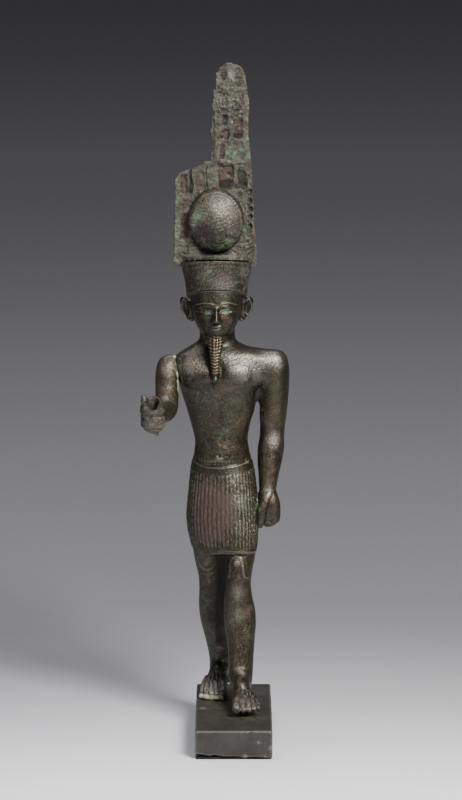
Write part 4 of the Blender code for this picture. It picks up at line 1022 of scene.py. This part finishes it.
# The headdress: two plumes, the left one broken off, and the sun disc before them.
crestLook = {
    "voxel": 0.21, "quickVoxel": 0.4, "triangles": 190000, "smoothRounds": 2, "thick": 3.6,
    "y": 17.6, "lean": 0.04, "disc": (-6.1, 164.4),
    "discHalf": (9.4, 10.9), "discEdge": 1.6, "discDome": 3.0, "footRise": 1.95, "lumps": 0.09,
    "pits": 900, "pitSize": (0.15, 0.6), "pitDepth": 0.7,
    # x, depth, height, radius, strength
    # painted highlights: the glint on the disc's upper right, a spot near the plume's top and the lit ledge below the
    # disc
    "painted_highlight": [(-4, 2.2, 168.8, 2.7, 0.85), (-7, 2.2, 170.6, 2.6, 0.2), (-1.6, 2.2, 165.6, 2.4, 0.2),
        (-1, 2.6, 214.5, 1.2, 0.6), (-1, 2.2, 151, 3, 0.4)],
    "green": [(-20.4, 2.6, 172, 2.3, 1), (-20.4, 2.6, 166, 2.3, 1), (-20.6, 2.6, 160, 2.3, 1),
        (-20.4, 2.4, 154.5, 1.4, 0.7), (-20.2, 2.4, 178, 1.5, 1), (-12.6, 2.3, 166.6, 2.3, 0.8),
        (-13.8, 2.3, 163.4, 1.3, 0.6), (-10.6, 2.3, 168.4, 1.2, 0.6), (-1.6, 2.3, 158, 2.2, 0.6),
        (-6, 2.2, 153.9, 3.4, 0.9), (-10, 2.2, 155, 2, 0.7), (-1.6, 2.6, 188.3, 1.5, 0.9),
        (-0.4, 2.6, 186.6, 1.2, 0.8), (2.6, 2.6, 188.6, 2, 0.6), (-8.6, 2.6, 184.6, 1.2, 0.8),
        (-12, 2.6, 183.6, 1.2, 0.7), (3.8, 2.3, 162, 2, 0.7), (5, 2.6, 199, 1.5, 0.7), (4.6, 2.6, 192, 2, 0.5),
        (-6.6, 2.6, 200, 1.4, 0.6), (5.8, 2.6, 186, 1.4, 0.6), (-3.2, 2.6, 204, 1.8, 0.5), (7, 2.6, 170, 1.4, 0.6)],
    "rust": [(-10.6, 2.3, 161.4, 2.6, 0.9), (-8.6, 2.3, 158.6, 2, 0.6), (-17, 2.5, 178, 1.4, 0.7),
        (2.2, 2.6, 193.8, 1.5, 0.8), (-5.2, 2.4, 172.4, 2, 0.3), (5.4, 2.5, 184, 1.4, 0.6),
        (1.6, 2.6, 211.4, 1.4, 0.6)],
    # painted shade under the disc's overhang, with dark corroded spots besides
    "shade_and_dark_patches": [(-10.4, 2, 162.4, 2.6, 0.8), (-7.4, 2, 160, 2.4, 0.75), (-12.4, 2, 159.6, 1.8, 0.7),
        (-2.6, 2, 160.6, 2.4, 0.6), (-8, 2, 156.4, 2.4, 0.5), (-13.6, 2.3, 170.4, 0.8, 0.7),
        (-6.5, 2.2, 152.9, 2.4, 0.8), (-9.8, 2.2, 153.4, 2.2, 0.8), (-3, 2.2, 153, 2.2, 0.8),
        (-16.8, 2.3, 171.6, 2.2, 0.5), (-3, 2.6, 213.6, 1.2, 0.6), (-2.9, 2.6, 202.6, 0.7, 0.6),
        (0.6, 2.6, 201.8, 0.7, 0.5)],
    "pale": [(-4.9, 2.6, 184.5, 1.1, 0.7), (0.5, 2.6, 184.3, 1.3, 0.7), (3.6, 2.6, 183.8, 1.1, 0.6),
        (-3.4, 2.6, 206, 2.4, 0.3), (-20.5, 2.4, 169, 0.9, 0.9), (-20.5, 2.4, 157.6, 0.9, 0.9),
        (-1, 2.6, 214.8, 1.1, 0.5), (-6.9, 2.2, 156.4, 0.9, 0.6), (-11.5, 2.6, 184.2, 1.2, 0.7),
        (0.4, 2.2, 173.4, 0.9, 0.8), (2.2, 2.2, 170.6, 0.9, 0.8), (-1.6, 2.2, 175, 0.9, 0.7),
        (-7.4, 2.6, 192, 1.2, 0.4), (5.2, 2.6, 203, 0.9, 0.6), (0, 2.4, 151.6, 1.6, 0.4), (-5, 2.4, 151.4, 1.4, 0.3)],
}
crestOutline = [(-20.6, 148.6), (-20.9, 150.4), (-20.5, 156.2), (-20.4, 164.8), (-20.1, 172.5), (-20.4, 177.2),
    (-20, 179), (-18.6, 180.5), (-16.8, 181.4), (-13.8, 182.1), (-11.4, 183.4), (-10.2, 184.5), (-8, 184.9),
    (-7.9, 187), (-7.2, 189.1), (-7.4, 191), (-7.8, 193), (-8.3, 194.7), (-7.7, 196.6), (-7.4, 198.4), (-7, 200.8),
    (-7.4, 204.2), (-7.1, 206.6), (-7.35, 208.6), (-6.15, 209.8), (-6.15, 212.4), (-6, 214.8), (-4.9, 216.7),
    (-2.5, 218.2), (-0.8, 218.5), (1, 217.7), (2.8, 216.5), (4, 214.8), (4.55, 212), (4.7, 209.7), (5.2, 207.1),
    (5.35, 204.2), (5.2, 201.2), (4.95, 198.3), (5.2, 193.9), (5.5, 191), (5.9, 188.1), (6.1, 184.2), (6.3, 180.8),
    (6.3, 177.4), (6.7, 173.5), (7.1, 168.6), (7.3, 163.8), (7.5, 158.9), (7.9, 155.5), (8.2, 151.4), (7.9, 148.6)]
# x from, x to, z from, z to, depth, softness, what stains it or paints shade into it, and how much
crestPanels = [(-5, -1.4, 184.6, 209, 0.3, 1.1, "", 0), (-0.6, 3.8, 184.6, 209, 0.3, 1.1, "", 0),
    (-4.6, -1.6, 211.6, 215.6, 0.3, 0.9, "shade_and_dark_patches", 0.35), (0.2, 3.4, 210.4, 213.4, 0.45, 0.8, "shade_and_dark_patches", 0.45),
    (-4.4, -1.6, 196.4, 201, 0.5, 1.2, "shade_and_dark_patches", 0.7), (-4.8, -1.4, 192.2, 195.8, 0.5, 0.9, "rust", 0.7),
    (-0.3, 3.6, 193.2, 199.6, 0.45, 1.2, "rust", 0.95), (-0.2, 3.2, 192.4, 194.4, 0.6, 0.7, "shade_and_dark_patches", 0.7),
    (-4.9, -3, 185.4, 190.8, 0.45, 0.8, "rust", 0.75), (-2.4, -0.2, 185.2, 189.6, 0.4, 0.7, "", 0),
    (-5.7, 0.2, 175.4, 183.8, 0.75, 1, "rust", 1), (-5.4, -0.4, 174.6, 178.8, 0.35, 1, "shade_and_dark_patches", 0.9),
    (0.6, 5, 175.6, 182.8, 0.7, 1.5, "shade_and_dark_patches", 1), (-0.6, 4.6, 174.4, 177.8, 0.2, 1.3, "shade_and_dark_patches", 0.8),
    (-18.6, -15.6, 173.6, 180.6, 0.5, 0.9, "rust", 0.85), (-13.6, -9.6, 174.4, 182, 0.45, 0.9, "rust", 0.5),
    (-15.3, -14, 173.6, 182.4, 0.6, 0.5, "shade_and_dark_patches", 0.8), (-9.6, -8.9, 173.6, 183.6, 0.4, 0.35, "shade_and_dark_patches", 0.6),
    (-18.9, -14.8, 157, 167.8, 0.95, 1.8, "shade_and_dark_patches", 0.6), (-18.9, -14.8, 157, 167.8, 0, 1.2, "rust", 0.8),
    (4.2, 6.4, 158.4, 174.4, 0.35, 0.7, "shade_and_dark_patches", 0.35), (-19.8, -15, 150.6, 156.6, 0.25, 0.9, "shade_and_dark_patches", 0.3)]
crestBars = [209.6, 205.4, 203.1, 201.2, 191.9, 187.6, 185.2]


def crestPoint(x, z, ahead):
    return Vector((x, crestLook["y"] + (z - 150.0) * crestLook["lean"] - ahead, z))


def crestSlab():
    half = crestLook["thick"] / 2
    bm = bmesh.new()
    bmesh.ops.create_circle(bm, cap_ends=False, radius=1.0, segments=len(crestOutline))
    bm.verts.ensure_lookup_table()
    for vert, (x, z) in zip(bm.verts, crestOutline):
        vert.co = crestPoint(x, z, -half)
    made = bmesh.ops.contextual_create(bm, geom=bm.edges[:])["faces"]
    swept = bmesh.ops.extrude_face_region(bm, geom=made)["geom"]
    moved = [part for part in swept if isinstance(part, bmesh.types.BMVert)]
    bmesh.ops.translate(bm, verts=moved, vec=(0.0, -crestLook["thick"], 0.0))
    bmesh.ops.recalc_face_normals(bm, faces=bm.faces[:])
    return bm


def crestRelief(points):
    x, z = points[:, 0], points[:, 2]
    x, z = x + 0.5 * cloud(points, 2.2, 51, 2), z + 0.8 * cloud(points, 2.6, 52, 2)
    lift, uneven = np.zeros(len(points)), 0.85 + 0.5 * cloud(points, 3.0, 53, 2)
    for x0, x1, z0, z1, depth, soft, _, _ in crestPanels:
        lift -= depth * uneven * window(x, x0, x1, soft) * window(z, z0, z1, soft)
    inner = np.maximum(window(x, -5.0, -1.3, 0.6), window(x, -0.5, 3.7, 0.6))
    for number, height in enumerate(crestBars):
        slope = 0.08 * (x + 1.0) * (1 if number % 2 else -1)
        lift += (0.3 + 0.15 * math.sin(7.0 * number)) * inner * bell(z - height, slope, 0.55)
    lift += 0.45 * window(x, -5.6, 4.8, 0.6) * bell(z, 184.3, 0.6)       # the lower plume's broken top edge
    lift -= 0.4 * bell(x, -6.95, 0.35) * window(z, 185.0, 202.0, 1.5)
    lift += 0.3 * bell(x, -7.7, 0.5) * window(z, 186.0, 204.0, 1.5)
    beads = (z - 163.0) / 2.85
    ring = np.hypot((x - 5.7) / 1.15, (beads - np.round(beads)) * 2.4)
    edge = window(z, 161.0, 177.5, 0.8)
    lift += edge * (0.5 * bell(ring, 0.95, 0.4) - 0.3 * bell(ring, 0.0, 0.5))
    for offset in (0.0, 1.3, 2.6):
        lift += 0.35 * bell((z - 171.2 - offset) - 0.75 * (x - 2.2), 0.0, 0.4) * window(x, 1.2, 5.0, 0.8)
    for offset in (0.0, 1.6, 3.2, 4.8):
        lift -= 0.28 * bell((z - 151.6 - offset) - 0.7 * (x - 3.3), 0.0, 0.3) * window(x, 2.6, 7.9, 0.8)
        lift -= 0.12 * bell((z - 152.0 - offset) + 0.1 * (x + 18.0), 0.0, 0.25) * window(x, -20.0, -14.8, 0.8)
    return lift


def crestStain(points, stain):
    x, z = points[:, 0] + 0.6 * cloud(points, 1.8, 54, 2), points[:, 2] + 0.8 * cloud(points, 2.2, 55, 2)
    total = np.zeros(len(points))
    for x0, x1, z0, z1, _, soft, name, most in crestPanels:
        if name == stain:
            total = np.maximum(total, most * window(x, x0, x1, soft) * window(z, z0, z1, soft))
    return total


def crestDecay(points, normals):
    # how corrosion ate into the plumes, most of all at their edges and near the top
    z = points[:, 2]
    side = 1.0 - np.abs(normals[:, 1])
    eroded = 0.45 + 0.55 * rise(z, 186.0, 200.0)
    rough = 0.24 * cloud(points, 0.75, 21, 2) + 0.42 * cloud(points, 1.9, 22, 2)
    return rough * eroded + side * (0.45 * cloud(points, 2.2, 25, 2) + 0.3 * cloud(points, 0.9, 26)) - 0.3 * side


def discRelief(points):
    # sweeping scratches over the dome, a raised rim at the upper right
    x, z = points[:, 0] - crestLook["disc"][0], points[:, 2] - crestLook["disc"][1]
    sweep = np.hypot(x + 3.0, z - 13.0) + 0.9 * cloud(points, 4.0, 61, 2)
    other = np.hypot(x - 15.0, z + 9.0) + 0.8 * cloud(points, 3.0, 62, 2)
    mask = cloud(points, 3.0, 63, 2)
    lift = -0.11 * bell(sweep / 1.05 - np.round(sweep / 1.05), 0.0, 0.17) * rise(mask, -0.15, 0.45)
    lift -= 0.1 * bell(other / 1.4 - np.round(other / 1.4), 0.0, 0.14) * rise(-mask, -0.1, 0.5)
    lift += 0.16 * cloud(points, 1.2, 64, 2) * (0.35 + 0.65 * rise(-z, -2.0, 5.0)) + 0.1 * cloud(points, 3.0, 65)
    ring = np.hypot(x / crestLook["discHalf"][0], z / crestLook["discHalf"][1])
    return lift + 0.22 * bell(ring, 0.93, 0.04) * rise(x + z, -4.0, 6.0)


def makeCrest(material):
    look = crestLook
    half = look["thick"] / 2
    x, z = look["disc"]
    disc = []
    rows = [(-look["thick"] / 3, 1.0), (look["discEdge"] * 0.75, 1.0), (look["discEdge"], 0.97)]
    rows += [(look["discEdge"] + look["discDome"] * math.sin(swing), 0.97 * math.cos(swing))
             for swing in (0.2, 0.4, 0.6, 0.8, 1.0, 1.2, 1.4, 1.52)]
    wide, tall = look["discHalf"]
    for ahead, share in rows:
        disc.append(tilted(crestPoint(x, z, half + ahead), (wide * share, 0, 0), (0, 0, tall * share)))
    rim = np.array(crownRows[-1])
    foot = []
    for up, share in ((0.0, 1.0), (look["footRise"] - 0.4, 1.0), (look["footRise"], 0.97)):
        row = rim.copy()
        row[2] += 0.3 + up
        row[3:6] *= 0.96 * share
        row[6:9] *= 0.94 * share
        row[9:12] *= 0.5 * share
        row[12] = 2.1
        foot.append(row)
    masses = {"plate": crestSlab(), "disc": loft(disc, 96, 4), "foot": loft(foot, 72, 5)}
    piece, tree, labels, numbers = cast("plumed_crest", masses, look)
    mesh = piece.data
    points, edges = smoothed(mesh, look)
    normals = normalsOf(mesh)
    depth = crestLook["y"] + (points[:, 2] - 150.0) * look["lean"] - points[:, 1]
    onPlate = rise(-normals[:, 1], 0.5, 0.9) * (depth < half + 0.3)
    points, normals = raised(mesh, points, np.array((0.0, -1.0, 0.0)), onPlate * crestRelief(points))
    spot = np.hypot((points[:, 0] - x) / look["discHalf"][0], (points[:, 2] - z) / look["discHalf"][1])
    onDisc = (ownersOf(points, tree, labels) == numbers["disc"]) & (spot < 1.03)
    lift = look["lumps"] * (cloud(points, 2.2, 23, 3) + 1.3 * cloud(points, 7.0, 24))
    lift += np.where(onDisc, discRelief(points), crestDecay(points, normals))
    lift += pitted(points, look, 27) * np.where(onDisc, 0.1, 1.0)
    points, normals = raised(mesh, points, normals, lift)
    flat = points * (1.0, 0.15, 1.0)
    crust = np.where(onDisc, 0.5 - 0.5 * patches(flat, look["painted_highlight"]) + 0.2 * cloud(points, 4.0, 32, 2), 0.95)
    hollow = hollowness(points, normals, edges)
    marks = {
        "hollow": np.where(onDisc, hollow, 0.5 + 0.6 * (hollow - 0.5)), "crust": np.clip(crust, 0, 1),
        "grey": np.clip(0.3 + 0.5 * cloud(points, 9.0, 31, 2), 0, 1), "pale": 0.5 * patches(flat, look["pale"]),
        "green": patches(flat, look["green"]), "painted_highlight": patches(flat, look["painted_highlight"]),
    }
    for stain in ("rust", "shade_and_dark_patches"):
        marks[stain] = np.clip(patches(flat, look[stain]) + np.where(onDisc, 0.0, crestStain(points, stain)), 0, 1)
    seat = crownRows[:-1] + [np.array(crownRows[-1]) + np.array([0, 0, 0.3] + [0] * 10)]
    carved(piece, [loft(grown(seat, 0.28), 72, 8)])
    finished(piece, points, marks, look, "plumes_and_disc", material)


# The plinth: a worn block with an uneven lower edge.
plinthLook = {
    "voxel": 0.3, "quickVoxel": 0.8, "triangles": 120000, "smoothRounds": 2, "edge": 0.4, "lumps": 0.045,
    "pits": 160, "pitSize": (0.3, 0.8), "pitDepth": 0.25,
    "pale": [(12.4, -34.5, -8.6, 0.7, 1), (8.6, -34.5, -6.6, 0.5, 0.8), (4, -34.5, -11.4, 0.7, 0.7),
        (-5.6, -34.5, -12.2, 0.8, 0.6), (10.4, -34.5, -11.6, 0.5, 0.8), (-10.6, -2, -2.7, 1.4, 0.7),
        (13.4, 2, -2.7, 0.7, 0.9), (13.4, -6, -2.7, 0.7, 0.7)],
    "stain": [(1.5, -10, -2.7, 9, 0.7), (-3, 4, -2.7, 8, 0.5), (6, -17.5, -2.7, 5, 0.6)],
}


def makePlinth(material):
    look = plinthLook
    low, high = ((np.array(corner) - (0.0, 0.0, ground)) / unit for corner in (plinthLow, plinthHigh))
    bm = bmesh.new()
    bmesh.ops.create_cube(bm, size=1.0)
    bmesh.ops.scale(bm, verts=bm.verts[:], vec=high - low)
    bmesh.ops.translate(bm, verts=bm.verts[:], vec=(low + high) / 2)
    bmesh.ops.bevel(bm, geom=bm.edges[:], offset=look["edge"], affect="EDGES", segments=4, profile=0.5, material=-1)
    piece = fused(newObject("worn_plinth", toMesh("worn_plinth", bm)), look)
    mesh = piece.data
    points, edges = smoothed(mesh, look)
    normals = normalsOf(mesh)
    lift = look["lumps"] * (cloud(points, 3.0, 41, 3) + 1.5 * cloud(points, 12.0, 42))
    lift += pitted(points, look, 43)
    up = points[:, 2] - low[2]
    chips = 0.95 + 0.55 * cloud(points, 7.0, 44, 2) + 0.45 * cloud(points, 2.0, 45) - 0.05 * points[:, 0]
    # under: the band along the bottom, carved in and also painted near black as shade
    under = 1.0 - rise(up, chips - 0.3, chips + 0.3)
    lift -= 1.1 * under * (np.abs(normals[:, 2]) < 0.7)
    lift -= 0.5 * np.maximum(cloud(points, 5.0, 46, 2) - 0.45, 0.0) * bell(high[2] - points[:, 2], 0.0, 1.5)
    lift = np.where(up < 0.3, np.minimum(lift, 0.0), lift)
    points, normals = raised(mesh, points, normals, lift)
    marks = {"hollow": hollowness(points, normals, edges), "shade_and_dark_patches": under, "pale": patches(points, look["pale"]),
             "stain": patches(points, look["stain"])}
    finished(piece, points, marks, look, "plinth", material)


# Materials.
skinColours = {
    "tan": (0.088, 0.06, 0.032), "moss": (0.029, 0.037, 0.021), "umber": (0.05, 0.028, 0.016),
    "speck": (0.01, 0.008, 0.006), "wear": (0.17, 0.145, 0.105), "gold": (0.185, 0.128, 0.056),
    "rust": (0.044, 0.0195, 0.0115), "grey": (0.085, 0.08, 0.068), "green": (0.045, 0.072, 0.038),
    "teal": (0.035, 0.064, 0.048), "dirt": (0.005, 0.0045, 0.004), "pale": (0.33, 0.34, 0.23),
    "beige": (0.08, 0.073, 0.052), "brown": (0.034, 0.0245, 0.017), "rose": (0.08, 0.058, 0.046),
    "olive": (0.05, 0.066, 0.042), "verdigris": (0.085, 0.142, 0.078), "ochre": (0.066, 0.036, 0.018),
    # the silvery tone is a painted highlight; the near-black last tone is painted shade with dark patches
    "painted_highlight_silver": (0.40, 0.355, 0.315), "shade_and_dark_patches": (0.012, 0.0105, 0.01),
}


plinthColours = {
    "dark": (0.028, 0.025, 0.021), "light": (0.042, 0.0378, 0.0325), "stain": (0.09, 0.074, 0.048),
    "speck": (0.022, 0.018, 0.015), "dust": (0.105, 0.097, 0.083), "wear": (0.15, 0.14, 0.12),
    # the last tone, near black, is painted shade in the undercut along the bottom
    "pale": (0.24, 0.22, 0.18), "undercut_shade": (0.006, 0.005, 0.005),
}
commonMarks = ["hollow", "green", "rust", "crust", "pale", "painted_highlight", "shade_and_dark_patches"]
bronzes = {
    # the two tones, the depth of the bump in metres, and marks besides the common ones
    "dark_bronze": ((0.0098, 0.0088, 0.0047), (0.0255, 0.0214, 0.0106), 0.0003, ["gold", "tan"]),
    "arm_bronze": ((0.025, 0.0192, 0.0115), (0.064, 0.051, 0.031), 0.00025, ["tan", "grey"]),
    "crest_bronze": ((0.028, 0.0245, 0.018), (0.084, 0.075, 0.061), 0.0004, ["grey"]),
}


def groupTree(name, inputs, outputs):
    tree = bpy.data.node_groups.new(name, "ShaderNodeTree")
    for side, sockets in (("INPUT", inputs), ("OUTPUT", outputs)):
        for socket, kind in sockets.items():
            tree.interface.new_socket(socket, in_out=side, socket_type=f"NodeSocket{kind}")
    return tree, node(tree, "NodeGroupInput").outputs


def patinaGroup():
    # a bronze skin: clouds of brown, dirt in the hollows, wear on the ridges, then crust, a painted silvery highlight,
    # rust, green, painted shade with dark patches, and pale salts
    marks = dict.fromkeys(("Hollow", "Green", "Rust", "Gold", "Tan", "Pale", "Grey", "Crust", "Painted_highlight", "Shade_and_dark_patches"), "Float")
    values = dict.fromkeys(("Roughness", "Metallic", "Coat", "Height"), "Float")
    tree, given = groupTree("patina", {"Place": "Vector", "Dark": "Color", "Light": "Color", **marks},
                            {"Colour": "Color", **values})
    place, hollow = given["Place"], given["Hollow"]
    tones = skinColours

    def scatter(size, low, high, most=1.0, seed=0.0):
        return stretch(tree, grain(tree, place, size, 4.0, 0.6, 0.3, seed), low, high, 0.0, most)

    def times(first, second):
        return sums(tree, "MULTIPLY", first, second)

    def laid(colour, factor, over):
        return blend(tree, factor, colour, tones[over])

    def clouded(colour, layers):
        for over, *given in layers:
            colour = laid(colour, scatter(*given), over)
        return colour

    def masked(mark, size, seed):
        # a mark's ragged patch
        noise = times(grain(tree, place, size, 4, 0.65, 0.3, seed), 0.9)
        return stretch(tree, sums(tree, "MULTIPLY_ADD", given[mark], 0.7, noise), 0.66, 0.92)

    middle, fine = grain(tree, place, 0.0022, 4, 0.62), grain(tree, place, 0.0005, 4, 0.65)
    colour = blend(tree, scatter(0.010, 0.38, 0.62), given["Dark"], given["Light"])
    colour = clouded(colour, [("moss", 0.0046, 0.52, 0.62, 0.75, 3.0), ("umber", 0.0038, 0.53, 0.64, 0.7, 5.0)])
    colour = laid(colour, times(given["Tan"], scatter(0.003, 0.42, 0.6, 0.9, 7.0)), "tan")
    colour = clouded(colour, [("speck", 0.0009, 0.56, 0.66, 0.7, 9.0), ("green", 0.0016, 0.57, 0.68, 0.5, 35.0),
                              ("ochre", 0.0018, 0.57, 0.67, 0.6, 37.0)])
    colour = laid(colour, stretch(tree, fine, 0.54, 0.67, 0.0, 0.5), "wear")
    colour = laid(colour, times(given["Grey"], stretch(tree, middle, 0.42, 0.6)), "grey")
    colour = laid(colour, times(stretch(tree, hollow, 0.45, 0.2), 0.4), "wear")
    colour = laid(colour, times(given["Gold"], stretch(tree, hollow, 0.56, 0.3)), "gold")
    crust = blend(tree, scatter(0.0026, 0.42, 0.6, 1.0, 11.0), tones["beige"], tones["brown"])
    crust = clouded(crust, [
        ("olive", 0.0022, 0.52, 0.64, 0.8, 13.0), ("verdigris", 0.0016, 0.6, 0.68, 0.7, 14.0),
        ("teal", 0.0017, 0.57, 0.66, 0.6, 15.0), ("rose", 0.0024, 0.56, 0.66, 0.5, 17.0),
        ("speck", 0.0008, 0.54, 0.64, 0.7, 19.0)])
    crusted = masked("Crust", 0.0015, 21.0)
    colour = blend(tree, crusted, colour, crust)
    # painted highlight: a silvery tone laid where the light strikes, broken up by fine noise
    painted_highlight = times(given["Painted_highlight"], stretch(tree, fine, 0.36, 0.6, 0.25, 1.0))
    colour = laid(colour, painted_highlight, "painted_highlight_silver")
    rust, green, shade_and_dark_patches = masked("Rust", 0.0011, 23.0), masked("Green", 0.0012, 25.0), masked("Shade_and_dark_patches", 0.0013, 33.0)
    colour = laid(colour, times(rust, 0.72), "rust")
    copper = blend(tree, scatter(0.003, 0.48, 0.58, 1.0, 27.0), tones["verdigris"], tones["green"])
    copper = clouded(copper, [("teal", 0.0016, 0.55, 0.66, 0.7, 28.0)])
    colour = blend(tree, times(green, 0.8), colour, copper)
    # painted shade and dark patches, laid over the skin in near black
    colour = laid(colour, times(shade_and_dark_patches, 0.8), "shade_and_dark_patches")
    dirt = stretch(tree, hollow, 0.56, 0.9)
    colour = laid(colour, times(dirt, 0.85), "dirt")
    pale = stretch(tree, sums(tree, "ADD", given["Pale"], middle), 0.9, 1.2)
    colour = laid(colour, pale, "pale")
    dull = pale
    for mask in (crusted, green, rust, shade_and_dark_patches):
        dull = sums(tree, "MAXIMUM", dull, mask)
    rough = stretch(tree, middle, 0.3, 0.7, 0.34, 0.48)
    for mask, share in ((painted_highlight, -0.05), (dirt, 0.2), (dull, 0.22), (shade_and_dark_patches, 0.25)):
        rough = sums(tree, "MULTIPLY_ADD", mask, share, rough)
    metallic = sums(tree, "MULTIPLY_ADD", dull, -0.65, 0.75)
    coat = stretch(tree, sums(tree, "MULTIPLY_ADD", crusted, 0.6, shade_and_dark_patches), 0.0, 1.0, 0.3, 0.04)
    pits = node(tree, "ShaderNodeTexVoronoi", {"Vector": place, "Scale": 1500.0}).outputs["Distance"]
    pits = times(stretch(tree, pits, 0.3, 0.08), scatter(0.006, 0.45, 0.6, 1.0, 29.0))
    height = times(fine, 0.7)
    for part, share in ((middle, 0.9), (grain(tree, place, 0.001, 3, 0.6, 0.0, 31.0), 1.0), (pits, -0.5)):
        height = sums(tree, "MULTIPLY_ADD", part, share, height)
    node(tree, "NodeGroupOutput", {"Colour": colour, "Roughness": rough, "Metallic": metallic, "Coat": coat,
                                   "Height": height})
    return tree


def marked(tree, name):
    return node(tree, "ShaderNodeAttribute", attribute_name=name).outputs["Fac"]


def bumped(tree, shader, height, distance):
    relief = node(tree, "ShaderNodeBump", {"Height": height, "Distance": distance, "Strength": 0.8})
    tree.links.new(relief.outputs["Normal"], shader.inputs["Normal"])


def bronze(name, patina):
    material, tree, shader, place = newMaterial(name)
    dark, light, bump, marks = bronzes[name]
    given = {mark.capitalize(): marked(tree, mark) for mark in commonMarks + marks}
    given.update({"Place": place, "Dark": (*dark, 1.0), "Light": (*light, 1.0)})
    skin = node(tree, "ShaderNodeGroup", given, node_tree=patina).outputs
    for key, socket in (("Colour", "Base Color"), ("Coat", "Coat Weight"), ("Roughness",) * 2, ("Metallic",) * 2):
        tree.links.new(skin[key], shader.inputs[socket])
    shader.inputs["Coat Roughness"].default_value = 0.28
    bumped(tree, shader, skin["Height"], bump)
    return material


def worn(name):
    # the plinth's even grey-brown skin, painted near black as shade in the undercut along its chipped lower edge
    material, tree, shader, place = newMaterial(name)
    given = {mark: marked(tree, mark) for mark in ("hollow", "shade_and_dark_patches", "pale", "stain")}
    tones = plinthColours
    broad, fine = grain(tree, place, 0.012, 4, 0.6, 0.4, 51.0), grain(tree, place, 0.0006, 4, 0.65, 0.0, 52.0)
    middle = grain(tree, place, 0.0022, 4, 0.62, 0.2, 53.0)
    colour = blend(tree, stretch(tree, broad, 0.38, 0.62), tones["dark"], tones["light"])
    stain = sums(tree, "MULTIPLY", given["stain"], stretch(tree, middle, 0.36, 0.6))
    pale = sums(tree, "MULTIPLY", given["pale"], stretch(tree, fine, 0.4, 0.55))
    for factor, over in (
            (stain, "stain"), (stretch(tree, middle, 0.56, 0.7, 0.0, 0.45), "speck"),
            (stretch(tree, fine, 0.58, 0.72, 0.0, 0.5), "dust"),
            (stretch(tree, given["hollow"], 0.16, 0.0, 0.0, 0.36), "wear"), (pale, "pale"),
            # painted shade in the undercut band along the bottom
            (stretch(tree, given["shade_and_dark_patches"], 0.1, 0.6), "undercut_shade")):
        colour = blend(tree, factor, colour, tones[over])
    tree.links.new(colour, shader.inputs["Base Color"])
    tree.links.new(stretch(tree, middle, 0.3, 0.7, 0.42, 0.6), shader.inputs["Roughness"])
    shader.inputs["Metallic"].default_value = 0.35
    bumped(tree, shader, sums(tree, "MULTIPLY_ADD", middle, 0.8, sums(tree, "MULTIPLY", fine, 0.5)), 0.00012)
    return material


patina = patinaGroup()
makeFigure(bronze("dark_bronze", patina))
makeArm(bronze("arm_bronze", patina))
makeCrest(bronze("crest_bronze", patina))
makePlinth(worn("plinth_bronze"))
